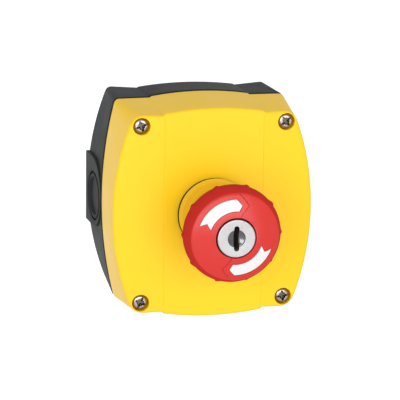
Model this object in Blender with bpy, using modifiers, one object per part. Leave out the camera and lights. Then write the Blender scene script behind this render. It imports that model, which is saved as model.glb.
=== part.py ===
"""Emergency stop station with a key-release mushroom button, screwed to a wall by its base.

Every piece is modelled with the station lying on its back: X to the right, Y up the wall and Z out of
the wall, with the origin at the centre of the back face. The empty "station" then stands it up, so that
it faces -Y with +Z up. Dimensions are in millimetres and meshes are made in metres.
"""
import math

import bmesh
import bpy
from mathutils import Matrix, Vector

MM = 0.001

# Box: outlines at the wall, at the joint between the halves, and at the cover's face.
# half_width and half_height are at the middles of the sides and of the arched band; corner is where the
# bowed side would meet the top; band_edge and side_top are the heights on the two sides of the small step.
REAR = dict(half_width=41.1, corner=(33.1, 41.2), half_height=42.0, band_edge=40.6, side_top=40.2, radius=2.0)
JOINT = dict(half_width=40.0, corner=(34.7, 41.5), half_height=43.7, band_edge=42.1, side_top=41.6, radius=1.8)
FRONT = dict(half_width=40.5, corner=(32.3, 40.5), half_height=42.6, band_edge=40.9, side_top=40.2, radius=4.6)
BAND_HALF_WIDTH = 20.0
STEP_WIDTH = 0.5
BOX_DEPTH = 56.0
JOINT_HEIGHT = 26.5
JOINT_GAP = 0.8
FACE_SLOPE = 0.057
WALL = 2.5
FLOOR = 2.5
CEILING = 53.2
EDGE_ROUND = 1.3
BACK_CHAMFER = 0.6
RIM_CHAMFER = 0.35
SIDE_STEPS = 6
CORNER_STEPS = 3
BAND_STEPS = 4

# Joint gasket: insets of its edges from the outline, and half its height
GASKET_OUTER = 0.7
GASKET_INNER = 2.1
GASKET_HALF_HEIGHT = 0.2

# Cover screws, their pillars and the inserts
SCREW_X = 29.2
SCREW_Y = 36.0
PILLAR_RADIUS = 4.6
COUNTERBORE_RADIUS = 3.45
SCREW_SEAT = 52.2
SCREW_HEAD_RADIUS = 3.25
SCREW_HEAD_TOP = 54.5
SCREW_HEAD_ROUND = 0.8
SCREW_RADIUS = 1.95
SCREW_TIP = 15.0
SCREW_HOLE_RADIUS = 2.3
INSERT_RADIUS = 3.0
INSERT_BOTTOM = 16.5
DRIVE_WIDTH = 0.9
DRIVE_LENGTH = 4.6
DRIVE_DEPTH = 1.3
SCREW_TURNS = (20.0, 38.0, 64.0, 8.0)

# Wall fixing slots and the cable-entry pads
SLOT_Y = 33.0
SLOT_RADIUS = 2.2
SLOT_LENGTH = 8.0
PAD_RADIUS = 14.5
PAD_CENTRE_HEIGHT = 12.3
PAD_INNER = 36.0
PAD_FRONT = 40.3
PAD_REAR = 41.8
KNOCKOUT_Y = -1.5
KNOCKOUT_HEIGHT = 14.0
KNOCKOUT_RADIUS = 10.25
KNOCKOUT_GROOVE = 0.9
KNOCKOUT_DISH_RADIUS = 8.0
KNOCKOUT_DEPTH = 1.0

# Actuator: flange, neck and threaded tube
CLEARANCE = 0.3
PANEL_HOLE_RADIUS = 11.3
FLANGE_RADIUS = 14.5
FLANGE_BOTTOM = 57.0
FLANGE_TOP = 58.2
BEZEL_GASKET = (56.25, 56.75)
NECK_RADIUS = 10.7
NECK_TOP = 83.0
TUBE_RADIUS = 10.9
TUBE_BOTTOM = 36.5
TUBE_FLOOR = 38.5
BORE_RADIUS = 9.4
NOSE_HOLE_RADIUS = 4.3
LATCH_GROOVE_RADIUS = 10.1
LATCH_GROOVE_MARGIN = 0.4
PRESS_TRAVEL = 5.5
NUT_RADIUS = 16.5
NUT_BOTTOM = 48.6
ADAPTER_BOTTOM = 38.7
ADAPTER_TOP = 46.5
ADAPTER_RADIUS = 14.8
ADAPTER_FOOT = 17.5
ADAPTER_FOOT_INNER = 12.5
ADAPTER_FOOT_HALF = 5.0
ADAPTER_LUG = (12.0, 20.0)
ADAPTER_LUG_HALF = 4.0
ADAPTER_SCREW_RADIUS = 1.5
ADAPTER_SCREW_HOLE = 1.8
ADAPTER_SCREW_TIP = 11.6
ADAPTER_SCREW_SEAT = 20.3
ADAPTER_SCREW_HEAD = 22.4
ADAPTER_SCREW_HEAD_RADIUS = 2.8
ADAPTER_SCREW_SLOT = 0.8

# Mushroom head
HEAD_RADIUS = 19.2
TOOTH_HEIGHT = 0.65
TOOTH_COUNT = 10
TOOTH_ANGLE = 18.0
TOOTH_RISE = 9.0
TOOTH_FALL = 7.0
FACE_EDGE_RADIUS = 17.1
FACE_EDGE_HEIGHT = 93.5
FACE_INNER_HEIGHT = 95.6
HEAD_BORE_RADIUS = 7.95
HUB_RADIUS = 9.1
HUB_BOTTOM = 70.0
SKIRT_BOTTOM = 84.4
HEAD_POINTS = 60

# Arrows: angles are clockwise from the top of the head
ARROW_RADII = (10.6, 12.8, 15.0)
ARROW_STARTS = (-70.0, -62.0, -70.0)
ARROW_ENDS = (6.0, 10.5, 1.0)
ARROW_DEPTH = 0.6
ARROW_PROUD = 0.08
ARROW_POCKET = 1.0
ARROW_CLEARANCE = 0.2

# Lock
LOCK_FACE = 96.1
LOCK_RADIUS = 7.5
LOCK_BODY_RADIUS = 7.3
LOCK_BOTTOM = 74.5
ROTOR_RADIUS = 5.2
ROTOR_NOSE_RADIUS = 3.35
ROTOR_TOP = 94.2
ROTOR_BOTTOM = 73.5
KEY_SLOT_WIDTH = 2.1
KEY_SLOT_LENGTH = 10.0
KEY_SLOT_BOTTOM = 82.0
CAM_PIN_OFFSET = 2.4
CAM_PIN_RADIUS = 0.9
LOCK_COLLAR_BOTTOM = 93.6
LOCK_GROOVE = (79.6, 81.0)
LOCK_GROOVE_RADIUS = 6.75
LOCK_CLIP = (79.9, 80.7)
LOCK_CLIP_RADII = (7.0, 7.75)
LOCK_CLIP_GAP = 6.0
ROTOR_DISH = ((0.0, 95.0), (1.2, 95.07), (2.3, 95.32), (3.0, 95.6))
ROTOR_NOSE_TOP = 95.75
ROTOR_SLOT_LENGTH = 9.4
CAM_RADIUS = 5.6
CAM_BOTTOM = 70.2

# Pusher and latch
PUSHER_RADIUS = 8.9
PUSHER_TOP = 69.7
PUSHER_SHOULDER = 50.0
NOSE_RADIUS = 3.8
NOSE_BOTTOM = 34.5
SEAL_BOTTOM = 56.6
SEAL_HEIGHT = 2.0
SEAL_RADII = (8.2, 9.15)
SEAL_GROOVE_RADIUS = 7.9
SEAL_MARGIN = 0.3
LATCH_BOTTOM = 66.0
LATCH_TOP = 69.0
LATCH_LENGTH = (-6.5, 3.4)
LATCH_HALF_WIDTH = 4.4
LATCH_TIP = (-8.8, -6.0)
LATCH_TIP_HALF = 1.8
LATCH_WINDOW = (0.4, 3.7)
LATCH_WINDOW_HALF = 1.3
LATCH_CHANNEL = (-9.5, 6.0)
LATCH_CHANNEL_HALF = 4.7
SPRING_POCKET = (5.5, 8.2)
SPRING_POCKET_HALF = 1.7
LATCH_SPRING = (3.7, 7.9)

# Contact block
BLOCK_HALF_LENGTH = 21.0
BLOCK_BOTTOM = 6.0
BLOCK_TOP = 28.0
BLOCK_LEFT = -6.5
BLOCK_SPLIT = 4.7
BLOCK_RIGHT = 6.5
BLOCK_WALL = 1.3
PLUNGER_RADIUS = 2.6
PLUNGER_TOP = 34.2
PLUNGER_BOTTOM = 17.3
BRIDGE_BOTTOM = 20.7
BRIDGE_TOP = 21.7
CONTACT_BOTTOM = 22.0
CONTACT_TOP = 23.0
TERMINAL_Y = 16.0
TERMINAL_HOLE = 1.75
TERMINAL_SCREW = ((0.0, 26.2), (2.2, 26.2), (2.2, 24.4), (1.45, 24.4), (1.45, 17.5), (0.0, 17.5))
TERMINAL_SLOT = (25.5, 0.6)
SCREW_ACCESS_RADIUS = 2.5
WIRE_ENTRY = (17.0, 24.5)
WIRE_ENTRY_HALF = 2.5
CONTACT_ENDS = (3.7, 19.2)
CONTACT_HALF_WIDTH = 2.0
CLAMP_ENDS = (13.4, 18.6)
CLAMP_HALF_WIDTH = 2.4
CLAMP_HEIGHTS = (23.3, 24.1)
BRIDGE_HALF_LENGTH = 6.4
BRIDGE_HALF_WIDTH = 1.2

SMOOTH_ANGLE = math.radians(32)
MERGE_DISTANCE = 0.00001


# Scene, materials and placing

def clear_scene():
    for item in list(bpy.data.objects):
        bpy.data.objects.remove(item, do_unlink=True)


def new_collection(name):
    collection = bpy.data.collections.new(name)
    bpy.context.scene.collection.children.link(collection)
    return collection


def new_material(name, colour, roughness, metallic=0.0):
    material = bpy.data.materials.new(name)
    material.use_nodes = True
    shader = material.node_tree.nodes["Principled BSDF"]
    shader.inputs["Base Color"].default_value = (*colour, 1.0)
    shader.inputs["Roughness"].default_value = roughness
    shader.inputs["Metallic"].default_value = metallic
    material.diffuse_color = (*colour, 1.0)
    return material


def new_empty(name, parent=None, location=(0.0, 0.0, 0.0)):
    empty = bpy.data.objects.new(name, None)
    empty.empty_display_size = 10 * MM
    empty.parent = parent
    empty.location = Vector(location) * MM
    PARTS.objects.link(empty)
    return empty


def place(mesh, name, material, parent, location=(0.0, 0.0, 0.0), turn=0.0):
    """Put a mesh in the scene as a named piece, turned about Z by an angle in degrees."""
    piece = bpy.data.objects.new(name, mesh)
    if not mesh.materials:
        mesh.materials.append(material)
    piece.parent = parent
    piece.location = Vector(location) * MM
    piece.rotation_euler.z = math.radians(turn)
    PARTS.objects.link(piece)
    return piece


def as_tool(mesh, name):
    """Put a mesh in the scene as a shape that only cuts or joins."""
    tool = bpy.data.objects.new(name, mesh)
    tool.parent = STATION
    tool.hide_render = True
    tool.display_type = "WIRE"
    CUTTERS.objects.link(tool)
    return tool


def combine(piece, tool, operation="DIFFERENCE"):
    modifier = piece.modifiers.new(tool.name, "BOOLEAN")
    modifier.operation = operation
    modifier.object = tool
    modifier.solver = "EXACT"


def bake(piece):
    """Apply a piece's modifiers and shade it smooth, with its corners kept sharp."""
    graph = bpy.context.evaluated_depsgraph_get()
    mesh = bpy.data.meshes.new_from_object(piece.evaluated_get(graph))
    mesh.name = piece.name
    piece.modifiers.clear()
    piece.data = mesh
    mesh.shade_smooth()
    mesh.set_sharp_from_angle(angle=SMOOTH_ANGLE)
    return mesh


# Shapes

def loft(rings, name, closed=False, caps=None):
    """Join rings of points, each with the same number of points, from one to the next.

    A closed loft joins its last ring to its first; an open one is capped, and caps can divide the last
    cap into flat faces given as lists of point numbers.
    """
    shape = bmesh.new()
    rows = [[shape.verts.new(Vector(point) * MM) for point in ring] for ring in rings]
    pairs = list(zip(rows, rows[1:]))
    if closed:
        pairs.append((rows[-1], rows[0]))
    count = len(rings[0])
    for lower, upper in pairs:
        for i in range(count):
            j = (i + 1) % count
            shape.faces.new((lower[i], lower[j], upper[j], upper[i]))
    if not closed:
        shape.faces.new(rows[0])
        for cap in caps or [range(count)]:
            shape.faces.new([rows[-1][i] for i in cap])
    return to_mesh(shape, name)


def to_mesh(shape, name):
    bmesh.ops.recalc_face_normals(shape, faces=shape.faces)
    mesh = bpy.data.meshes.new(name)
    shape.to_mesh(mesh)
    shape.free()
    return mesh


def box(name, low, high):
    low = Vector(low) * MM
    high = Vector(high) * MM
    shape = bmesh.new()
    bmesh.ops.create_cube(shape, size=1.0)
    size = Matrix.Diagonal((*(high - low), 1.0))
    bmesh.ops.transform(shape, matrix=Matrix.Translation((low + high) / 2) @ size, verts=shape.verts)
    return to_mesh(shape, name)


def rod(name, radius, bottom, top, centre=(0.0, 0.0), segments=32, axis="Z"):
    """A cylinder along Z, or along X with bottom and top as its X limits and centre as Y and Z."""
    shape = bmesh.new()
    bmesh.ops.create_cone(shape, cap_ends=True, segments=segments, radius1=radius * MM,
                          radius2=radius * MM, depth=(top - bottom) * MM)
    middle = (bottom + top) / 2
    if axis == "X":
        move = Matrix.Translation(Vector((middle, *centre)) * MM) @ Matrix.Rotation(math.pi / 2, 4, "Y")
    else:
        move = Matrix.Translation(Vector((*centre, middle)) * MM)
    bmesh.ops.transform(shape, matrix=move, verts=shape.verts)
    return to_mesh(shape, name)


def turned(profile, name, segments=48):
    """Turn a profile of (radius, height) points about Z.

    The profile runs down its outer side; it starts and ends on the axis, or closes on itself.
    """
    mesh = bpy.data.meshes.new(name)
    points = [(radius * MM, 0.0, height * MM) for radius, height in profile]
    edges = [(i, i + 1) for i in range(len(points) - 1)]
    if profile[0][0] > 0:
        edges.append((len(points) - 1, 0))
    mesh.from_pydata(points, edges, [])
    spinner = bpy.data.objects.new(name, mesh)
    CUTTERS.objects.link(spinner)
    screw = spinner.modifiers.new("Turn", "SCREW")
    screw.steps = segments
    screw.render_steps = segments
    screw.use_merge_vertices = True
    screw.merge_threshold = MERGE_DISTANCE
    graph = bpy.context.evaluated_depsgraph_get()
    result = bpy.data.meshes.new_from_object(spinner.evaluated_get(graph))
    result.name = name
    result.shade_smooth()
    result.set_sharp_from_angle(angle=SMOOTH_ANGLE)
    bpy.data.objects.remove(spinner)
    return result


def polar(radius, degrees, height):
    """A point at an angle clockwise from the top, as seen from the front."""
    angle = math.radians(degrees)
    return (radius * math.sin(angle), radius * math.cos(angle), height)


def mix(a, b, share):
    return a + (b - a) * share


def quarter_outline(level, inset):
    """Points from the middle of the right side, round the corner, to the middle of the top."""
    width = level["half_width"] - inset
    corner_x = level["corner"][0] - inset
    corner_y = level["corner"][1] - inset
    bow = width - corner_x
    bow_radius = (bow * bow + corner_y * corner_y) / (2 * bow)
    blend = max(level["radius"] - inset * 0.6, 1.0)

    def side(y):
        return (width - bow_radius + math.sqrt(bow_radius * bow_radius - y * y), y)

    points = [side(mix(0.0, corner_y - blend, i / SIDE_STEPS)) for i in range(SIDE_STEPS + 1)]
    step_x = BAND_HALF_WIDTH + STEP_WIDTH
    top = level["side_top"] - inset
    along = blend / (corner_x - step_x)
    start = Vector(points[-1])
    knee = Vector((corner_x, corner_y))
    end = Vector((mix(corner_x, step_x, along), mix(corner_y, top, along)))
    for i in range(1, CORNER_STEPS + 1):
        t = i / CORNER_STEPS
        point = start * (1 - t) ** 2 + knee * (2 * t * (1 - t)) + end * t ** 2
        points.append(tuple(point))
    points.append((step_x, top))
    edge = level["band_edge"] - inset
    rise = level["half_height"] - inset - edge
    arch_radius = (rise * rise + BAND_HALF_WIDTH ** 2) / (2 * rise)
    for i in range(BAND_STEPS + 1):
        x = mix(BAND_HALF_WIDTH, 0.0, i / BAND_STEPS)
        drop = arch_radius - math.sqrt(arch_radius * arch_radius - x * x)
        points.append((x, level["half_height"] - inset - drop))
    return points


def outline(level, height, inset=0.0, slope=0.0):
    """The box's whole outline at a height, with the side zones falling away by slope past the step."""
    quarter = quarter_outline(level, inset)
    upper = quarter + [(-x, y) for x, y in reversed(quarter[:-1])]
    ring = upper + [(x, -y) for x, y in reversed(upper[1:-1])]
    step_x = BAND_HALF_WIDTH + STEP_WIDTH
    return [(x, y, height - slope * max(0.0, abs(x) - step_x)) for x, y in ring]


def slot_outline(radius, length, height, centre_y, steps=8):
    """An upright slot with round ends."""
    reach = length / 2 - radius
    points = []
    for i in range(2 * steps + 2):
        half = i // (steps + 1)
        angle = math.pi * (i % (steps + 1)) / steps + math.pi * half
        shift = reach if half == 0 else -reach
        points.append((radius * math.cos(angle), centre_y + shift + radius * math.sin(angle), height))
    return points


def coil(name, radius, wire, low, high, turns, material, parent, points_per_turn=10):
    """A compression spring along Z, as a wire on a helix between two heights."""
    curve = bpy.data.curves.new(name, "CURVE")
    curve.dimensions = "3D"
    curve.bevel_depth = wire * MM
    curve.bevel_resolution = 0
    curve.use_fill_caps = True
    spline = curve.splines.new("POLY")
    count = turns * points_per_turn
    spline.points.add(count)
    for i in range(count + 1):
        angle = 2 * math.pi * i / points_per_turn
        height = mix(low + wire, high - wire, i / count)
        point = Vector((radius * math.cos(angle), radius * math.sin(angle), height)) * MM
        spline.points[i].co = (*point, 1.0)
    curve.materials.append(material)
    spring = bpy.data.objects.new(name, curve)
    spring.parent = parent
    PARTS.objects.link(spring)
    return spring


# Housing

def corner_positions():
    return [(x, y) for y in (SCREW_Y, -SCREW_Y) for x in (-SCREW_X, SCREW_X)]


def cavity(name, rings):
    """The hollow of a box half, which leaves its four screw pillars standing."""
    hollow = as_tool(loft(rings, name), name)
    for number, centre in enumerate(corner_positions(), 1):
        pillar_name = f"{name}_pillar_{number}"
        pillar = as_tool(rod(pillar_name, PILLAR_RADIUS, -5.0, BOX_DEPTH + 5.0, centre, 18), pillar_name)
        combine(hollow, pillar)
    return hollow


def pad_mesh(name, side):
    """A flat cable-entry pad on one side of the base, square at the wall and round towards the joint."""
    steps = 16
    edge = [(-PAD_RADIUS, 0.4)]
    for i in range(steps + 1):
        angle = math.pi * i / steps
        edge.append((-PAD_RADIUS * math.cos(angle), PAD_CENTRE_HEIGHT + PAD_RADIUS * math.sin(angle) * 0.94))
    edge.append((PAD_RADIUS, 0.4))
    inner = [(side * PAD_INNER, y, z) for y, z in edge]
    outer = [(side * mix(PAD_REAR, PAD_FRONT, z / JOINT_HEIGHT), y, z) for y, z in edge]
    return loft([inner, outer], name)


def knockout_tools(side, word):
    """Cutters for the thin ring and the dish that let the pad's disc be knocked out for a cable gland."""
    face = mix(PAD_REAR, PAD_FRONT, KNOCKOUT_HEIGHT / JOINT_HEIGHT)
    lean = math.atan((PAD_REAR - PAD_FRONT) / JOINT_HEIGHT)
    inner = KNOCKOUT_RADIUS - KNOCKOUT_GROOVE
    floor = face - KNOCKOUT_DEPTH
    beyond = face + 3.0
    groove = [(KNOCKOUT_RADIUS, beyond), (KNOCKOUT_RADIUS, floor), (inner, floor), (inner, beyond)]
    dish = [(0.0, beyond), (KNOCKOUT_DISH_RADIUS, beyond), (KNOCKOUT_DISH_RADIUS, floor), (0.0, floor)]
    tools = []
    for shape_name, profile in (("groove", groove), ("dish", dish)):
        tool = as_tool(turned(profile, f"knockout_{shape_name}_{word}", 28), f"knockout_{shape_name}_{word}")
        tool.rotation_euler.y = side * (math.pi / 2 - lean)
        tool.location = Vector((0.0, KNOCKOUT_Y, KNOCKOUT_HEIGHT - face * math.sin(lean))) * MM
        tools.append(tool)
    return tools


def make_rear_base():
    rim = JOINT_HEIGHT - JOINT_GAP / 2
    rings = [outline(REAR, 0.0, BACK_CHAMFER), outline(REAR, BACK_CHAMFER), outline(JOINT, rim)]
    base = place(loft(rings, "rear_base"), "rear_base", MATERIALS["base_grey"], STATION)
    for side, word in ((-1, "left"), (1, "right")):
        combine(base, as_tool(pad_mesh(f"pad_{word}", side), f"pad_{word}"), "UNION")
        for tool in knockout_tools(side, word):
            combine(base, tool)
    hollow = [outline(REAR, FLOOR, WALL), outline(JOINT, JOINT_HEIGHT, WALL)]
    combine(base, cavity("base_cavity", hollow))
    for number, centre in enumerate(corner_positions(), 1):
        wide = f"insert_hole_{number}"
        narrow = f"tip_hole_{number}"
        combine(base, as_tool(rod(wide, INSERT_RADIUS + 0.2, INSERT_BOTTOM - 0.3, 30.0, centre, 16), wide))
        combine(base, as_tool(rod(narrow, SCREW_HOLE_RADIUS, SCREW_TIP - 2.0, 20.0, centre, 16), narrow))
    for word, y in (("upper", SLOT_Y), ("lower", -SLOT_Y)):
        rings = [slot_outline(SLOT_RADIUS, SLOT_LENGTH, z, y) for z in (-1.0, FLOOR + 1.0)]
        combine(base, as_tool(loft(rings, f"fixing_slot_{word}"), f"fixing_slot_{word}"))
    bake(base)


def face_caps(count):
    """Divide the cover's face at the steps: the band, then the right and the left side zones."""
    quarter = SIDE_STEPS + CORNER_STEPS + 1
    half = count // 2
    top_right = quarter
    top_left = half - quarter
    bottom_left = half + quarter
    bottom_right = count - quarter
    band = list(range(top_right, top_left + 1)) + list(range(bottom_left, bottom_right + 1))
    left = list(range(top_left, bottom_left + 1))
    right = list(range(bottom_right, count)) + list(range(0, top_right + 1))
    return [band, right, left]


def make_front_cover():
    rim = JOINT_HEIGHT + JOINT_GAP / 2
    soft = EDGE_ROUND * (1 - math.sqrt(0.5))
    rings = [
        outline(JOINT, rim, RIM_CHAMFER),
        outline(JOINT, rim + RIM_CHAMFER),
        outline(FRONT, BOX_DEPTH - EDGE_ROUND, 0.0, FACE_SLOPE),
        outline(FRONT, BOX_DEPTH - soft, soft, FACE_SLOPE),
        outline(FRONT, BOX_DEPTH, EDGE_ROUND, FACE_SLOPE),
    ]
    mesh = loft(rings, "front_cover", caps=face_caps(len(rings[0])))
    cover = place(mesh, "front_cover", MATERIALS["cover_yellow"], STATION)
    hollow = [outline(JOINT, JOINT_HEIGHT, WALL), outline(FRONT, CEILING, WALL)]
    combine(cover, cavity("cover_cavity", hollow))
    panel_hole = rod("panel_hole", PANEL_HOLE_RADIUS, CEILING - 2.0, BOX_DEPTH + 2.0, segments=36)
    combine(cover, as_tool(panel_hole, "panel_hole"))
    for number, centre in enumerate(corner_positions(), 1):
        wide = f"counterbore_{number}"
        narrow = f"screw_hole_{number}"
        combine(cover, as_tool(rod(wide, COUNTERBORE_RADIUS, SCREW_SEAT, BOX_DEPTH + 2.0, centre, 20), wide))
        combine(cover, as_tool(rod(narrow, SCREW_HOLE_RADIUS, 20.0, SCREW_SEAT + 1.0, centre, 16), narrow))
    bake(cover)


def make_cover_gasket():
    low = JOINT_HEIGHT - GASKET_HALF_HEIGHT
    high = JOINT_HEIGHT + GASKET_HALF_HEIGHT
    rings = [outline(JOINT, low, GASKET_OUTER), outline(JOINT, high, GASKET_OUTER),
             outline(JOINT, high, GASKET_INNER), outline(JOINT, low, GASKET_INNER)]
    mesh = loft(rings, "cover_gasket", closed=True)
    bake(place(mesh, "cover_gasket", MATERIALS["rubber_black"], STATION))


def make_cover_screws():
    """Four machine screws whose heads take a cross or a flat driver, with their inserts."""
    seat = SCREW_SEAT + 0.2
    round_start = SCREW_HEAD_TOP - SCREW_HEAD_ROUND
    profile = [(0.0, SCREW_HEAD_TOP), (2.2, SCREW_HEAD_TOP - 0.05), (2.9, SCREW_HEAD_TOP - 0.35),
               (SCREW_HEAD_RADIUS, round_start), (SCREW_HEAD_RADIUS, seat), (SCREW_RADIUS, seat),
               (SCREW_RADIUS, SCREW_TIP + 1.0), (SCREW_RADIUS - 0.9, SCREW_TIP), (0.0, SCREW_TIP)]
    first = None
    reach = DRIVE_LENGTH / 2
    half = DRIVE_WIDTH / 2
    floor = SCREW_HEAD_TOP - DRIVE_DEPTH
    for number, (x, y) in enumerate(corner_positions(), 1):
        name = f"cover_screw_{number}"
        turn = SCREW_TURNS[number - 1]
        if first is None:
            first = place(turned(profile, "cover_screw", 16), name, MATERIALS["screw_steel"], STATION)
            slot = as_tool(box("drive_slot", (-reach, -half, floor), (reach, half, BOX_DEPTH)), "drive_slot")
            combine(first, slot)
            cross = box("drive_cross", (-half, -reach, floor), (half, reach, BOX_DEPTH))
            combine(first, as_tool(cross, "drive_cross"))
            shared = bake(first)
            screw = first
        else:
            screw = place(shared, name, MATERIALS["screw_steel"], STATION)
        screw.location = Vector((x, y, 0.0)) * MM
        screw.rotation_euler.z = math.radians(turn)
    top = JOINT_HEIGHT - JOINT_GAP / 2 - 0.3
    ring = [(INSERT_RADIUS, top), (INSERT_RADIUS, INSERT_BOTTOM), (SCREW_HOLE_RADIUS, INSERT_BOTTOM),
            (SCREW_HOLE_RADIUS, top)]
    shared_insert = turned(ring, "thread_insert", 14)
    for number, (x, y) in enumerate(corner_positions(), 1):
        place(shared_insert, f"thread_insert_{number}", MATERIALS["brass"], STATION, (x, y, 0.0))


# Actuator

def make_actuator_body():
    groove_low = LATCH_BOTTOM - PRESS_TRAVEL - LATCH_GROOVE_MARGIN
    groove_high = LATCH_TOP - PRESS_TRAVEL + LATCH_GROOVE_MARGIN
    profile = [
        (NECK_RADIUS - 0.4, NECK_TOP), (NECK_RADIUS, NECK_TOP - 0.4), (NECK_RADIUS, FLANGE_TOP),
        (FLANGE_RADIUS - 0.9, FLANGE_TOP), (FLANGE_RADIUS - 0.25, FLANGE_TOP - 0.3),
        (FLANGE_RADIUS, FLANGE_TOP - 0.8), (FLANGE_RADIUS, FLANGE_BOTTOM), (TUBE_RADIUS, FLANGE_BOTTOM),
        (TUBE_RADIUS, TUBE_BOTTOM), (NOSE_HOLE_RADIUS, TUBE_BOTTOM), (NOSE_HOLE_RADIUS, TUBE_FLOOR),
        (BORE_RADIUS, TUBE_FLOOR), (BORE_RADIUS, groove_low), (LATCH_GROOVE_RADIUS, groove_low),
        (LATCH_GROOVE_RADIUS, groove_high), (BORE_RADIUS, groove_high), (BORE_RADIUS, NECK_TOP),
    ]
    body = place(turned(profile, "actuator_body", 36), "actuator_body", MATERIALS["cover_yellow"], STATION)
    bake(body)


def make_bezel_gasket():
    low, high = BEZEL_GASKET
    outer = FLANGE_RADIUS - 0.4
    inner = TUBE_RADIUS + 0.4
    ring = [(outer, high), (outer, low), (inner, low), (inner, high)]
    bake(place(turned(ring, "bezel_gasket", 36), "bezel_gasket", MATERIALS["rubber_black"], STATION))


def make_fixing_nut():
    nut = place(rod("fixing_nut", NUT_RADIUS, NUT_BOTTOM, CEILING - 0.3, segments=6), "fixing_nut",
                MATERIALS["base_grey"], STATION)
    hole = rod("nut_hole", TUBE_RADIUS + CLEARANCE, NUT_BOTTOM - 1.0, CEILING + 1.0, segments=28)
    combine(nut, as_tool(hole, "nut_hole"))
    bake(nut)


def make_mounting_adapter():
    """A collar on the threaded tube, with two feet that hold the contact block and a clamping screw."""
    collar = rod("mounting_adapter", ADAPTER_RADIUS, ADAPTER_BOTTOM, ADAPTER_TOP, segments=28)
    adapter = place(collar, "mounting_adapter", MATERIALS["inner_grey"], STATION)
    foot_bottom = BLOCK_TOP + CLEARANCE
    for side, word in ((1, "upper"), (-1, "lower")):
        near, far = sorted((side * ADAPTER_FOOT_INNER, side * ADAPTER_FOOT))
        low = (-ADAPTER_FOOT_HALF, near, foot_bottom)
        high = (ADAPTER_FOOT_HALF, far, ADAPTER_TOP - 0.5)
        combine(adapter, as_tool(box(f"adapter_foot_{word}", low, high), f"adapter_foot_{word}"), "UNION")
    lug_start, lug_end = ADAPTER_LUG
    low = (lug_start, -ADAPTER_LUG_HALF, ADAPTER_BOTTOM + 1.0)
    high = (lug_end, ADAPTER_LUG_HALF, ADAPTER_TOP - 1.0)
    lug = box("adapter_lug", low, high)
    combine(adapter, as_tool(lug, "adapter_lug"), "UNION")
    hole = rod("adapter_hole", TUBE_RADIUS + CLEARANCE, 20.0, ADAPTER_TOP + 1.0, segments=28)
    combine(adapter, as_tool(hole, "adapter_hole"))
    middle = (ADAPTER_BOTTOM + ADAPTER_TOP) / 2
    tap = rod("adapter_screw_hole", ADAPTER_SCREW_HOLE, BORE_RADIUS, lug_end + 4.0, (0.0, middle), 20, "X")
    combine(adapter, as_tool(tap, "adapter_screw_hole"))
    bake(adapter)
    screw = rod("adapter_screw", ADAPTER_SCREW_RADIUS, ADAPTER_SCREW_TIP, ADAPTER_SCREW_SEAT + 0.2,
                (0.0, middle), 16, "X")
    piece = place(screw, "adapter_screw", MATERIALS["screw_steel"], STATION)
    head = rod("adapter_screw_head", ADAPTER_SCREW_HEAD_RADIUS, ADAPTER_SCREW_SEAT, ADAPTER_SCREW_HEAD,
               (0.0, middle), 20, "X")
    combine(piece, as_tool(head, "adapter_screw_head"), "UNION")
    half = ADAPTER_SCREW_SLOT / 2
    low = (ADAPTER_SCREW_HEAD - 0.8, -half, middle - 4.0)
    high = (ADAPTER_SCREW_HEAD + 1.6, half, middle + 4.0)
    slot = box("adapter_screw_slot", low, high)
    combine(piece, as_tool(slot, "adapter_screw_slot"))
    bake(piece)


# Head and lock

def tooth(degrees):
    """Height of the rim's small grip bumps, which rise clockwise to their tips and drop after them."""
    pitch = 360.0 / TOOTH_COUNT
    behind = (TOOTH_ANGLE - degrees) % pitch
    ahead = pitch - behind
    return TOOTH_HEIGHT * max(0.0, 1.0 - behind / TOOTH_RISE, 1.0 - ahead / TOOTH_FALL)


def face_height(radius):
    """Height of the head's slightly domed face."""
    share = (radius - HEAD_BORE_RADIUS) / (FACE_EDGE_RADIUS - HEAD_BORE_RADIUS)
    return mix(FACE_INNER_HEIGHT, FACE_EDGE_HEIGHT, share ** 1.6)


def arrow_mesh(name, turn, grow, top, bottom):
    """A curved arrow plate that follows the face, larger by grow all round."""
    radii = (ARROW_RADII[0] - grow, ARROW_RADII[1], ARROW_RADII[2] + grow)
    steps = 10
    shape = bmesh.new()
    rows = []
    for i in range(steps + 1):
        row = []
        for radius, start, end in zip(radii, ARROW_STARTS, ARROW_ENDS):
            extra = math.degrees(grow / radius)
            angle = turn + mix(start - extra, end + extra, i / steps)
            height = face_height(radius)
            row.append([shape.verts.new(Vector(polar(radius, angle, height + z)) * MM) for z in (top, bottom)])
        rows.append(row)
    for a, b in zip(rows, rows[1:]):
        for j in range(2):
            shape.faces.new((a[j][0], a[j + 1][0], b[j + 1][0], b[j][0]))
            shape.faces.new((a[j][1], a[j + 1][1], b[j + 1][1], b[j][1]))
        for j in (0, 2):
            shape.faces.new((a[j][0], b[j][0], b[j][1], a[j][1]))
    for row in (rows[0], rows[-1]):
        for j in range(2):
            shape.faces.new((row[j][0], row[j + 1][0], row[j + 1][1], row[j][1]))
    return to_mesh(shape, name)


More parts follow.
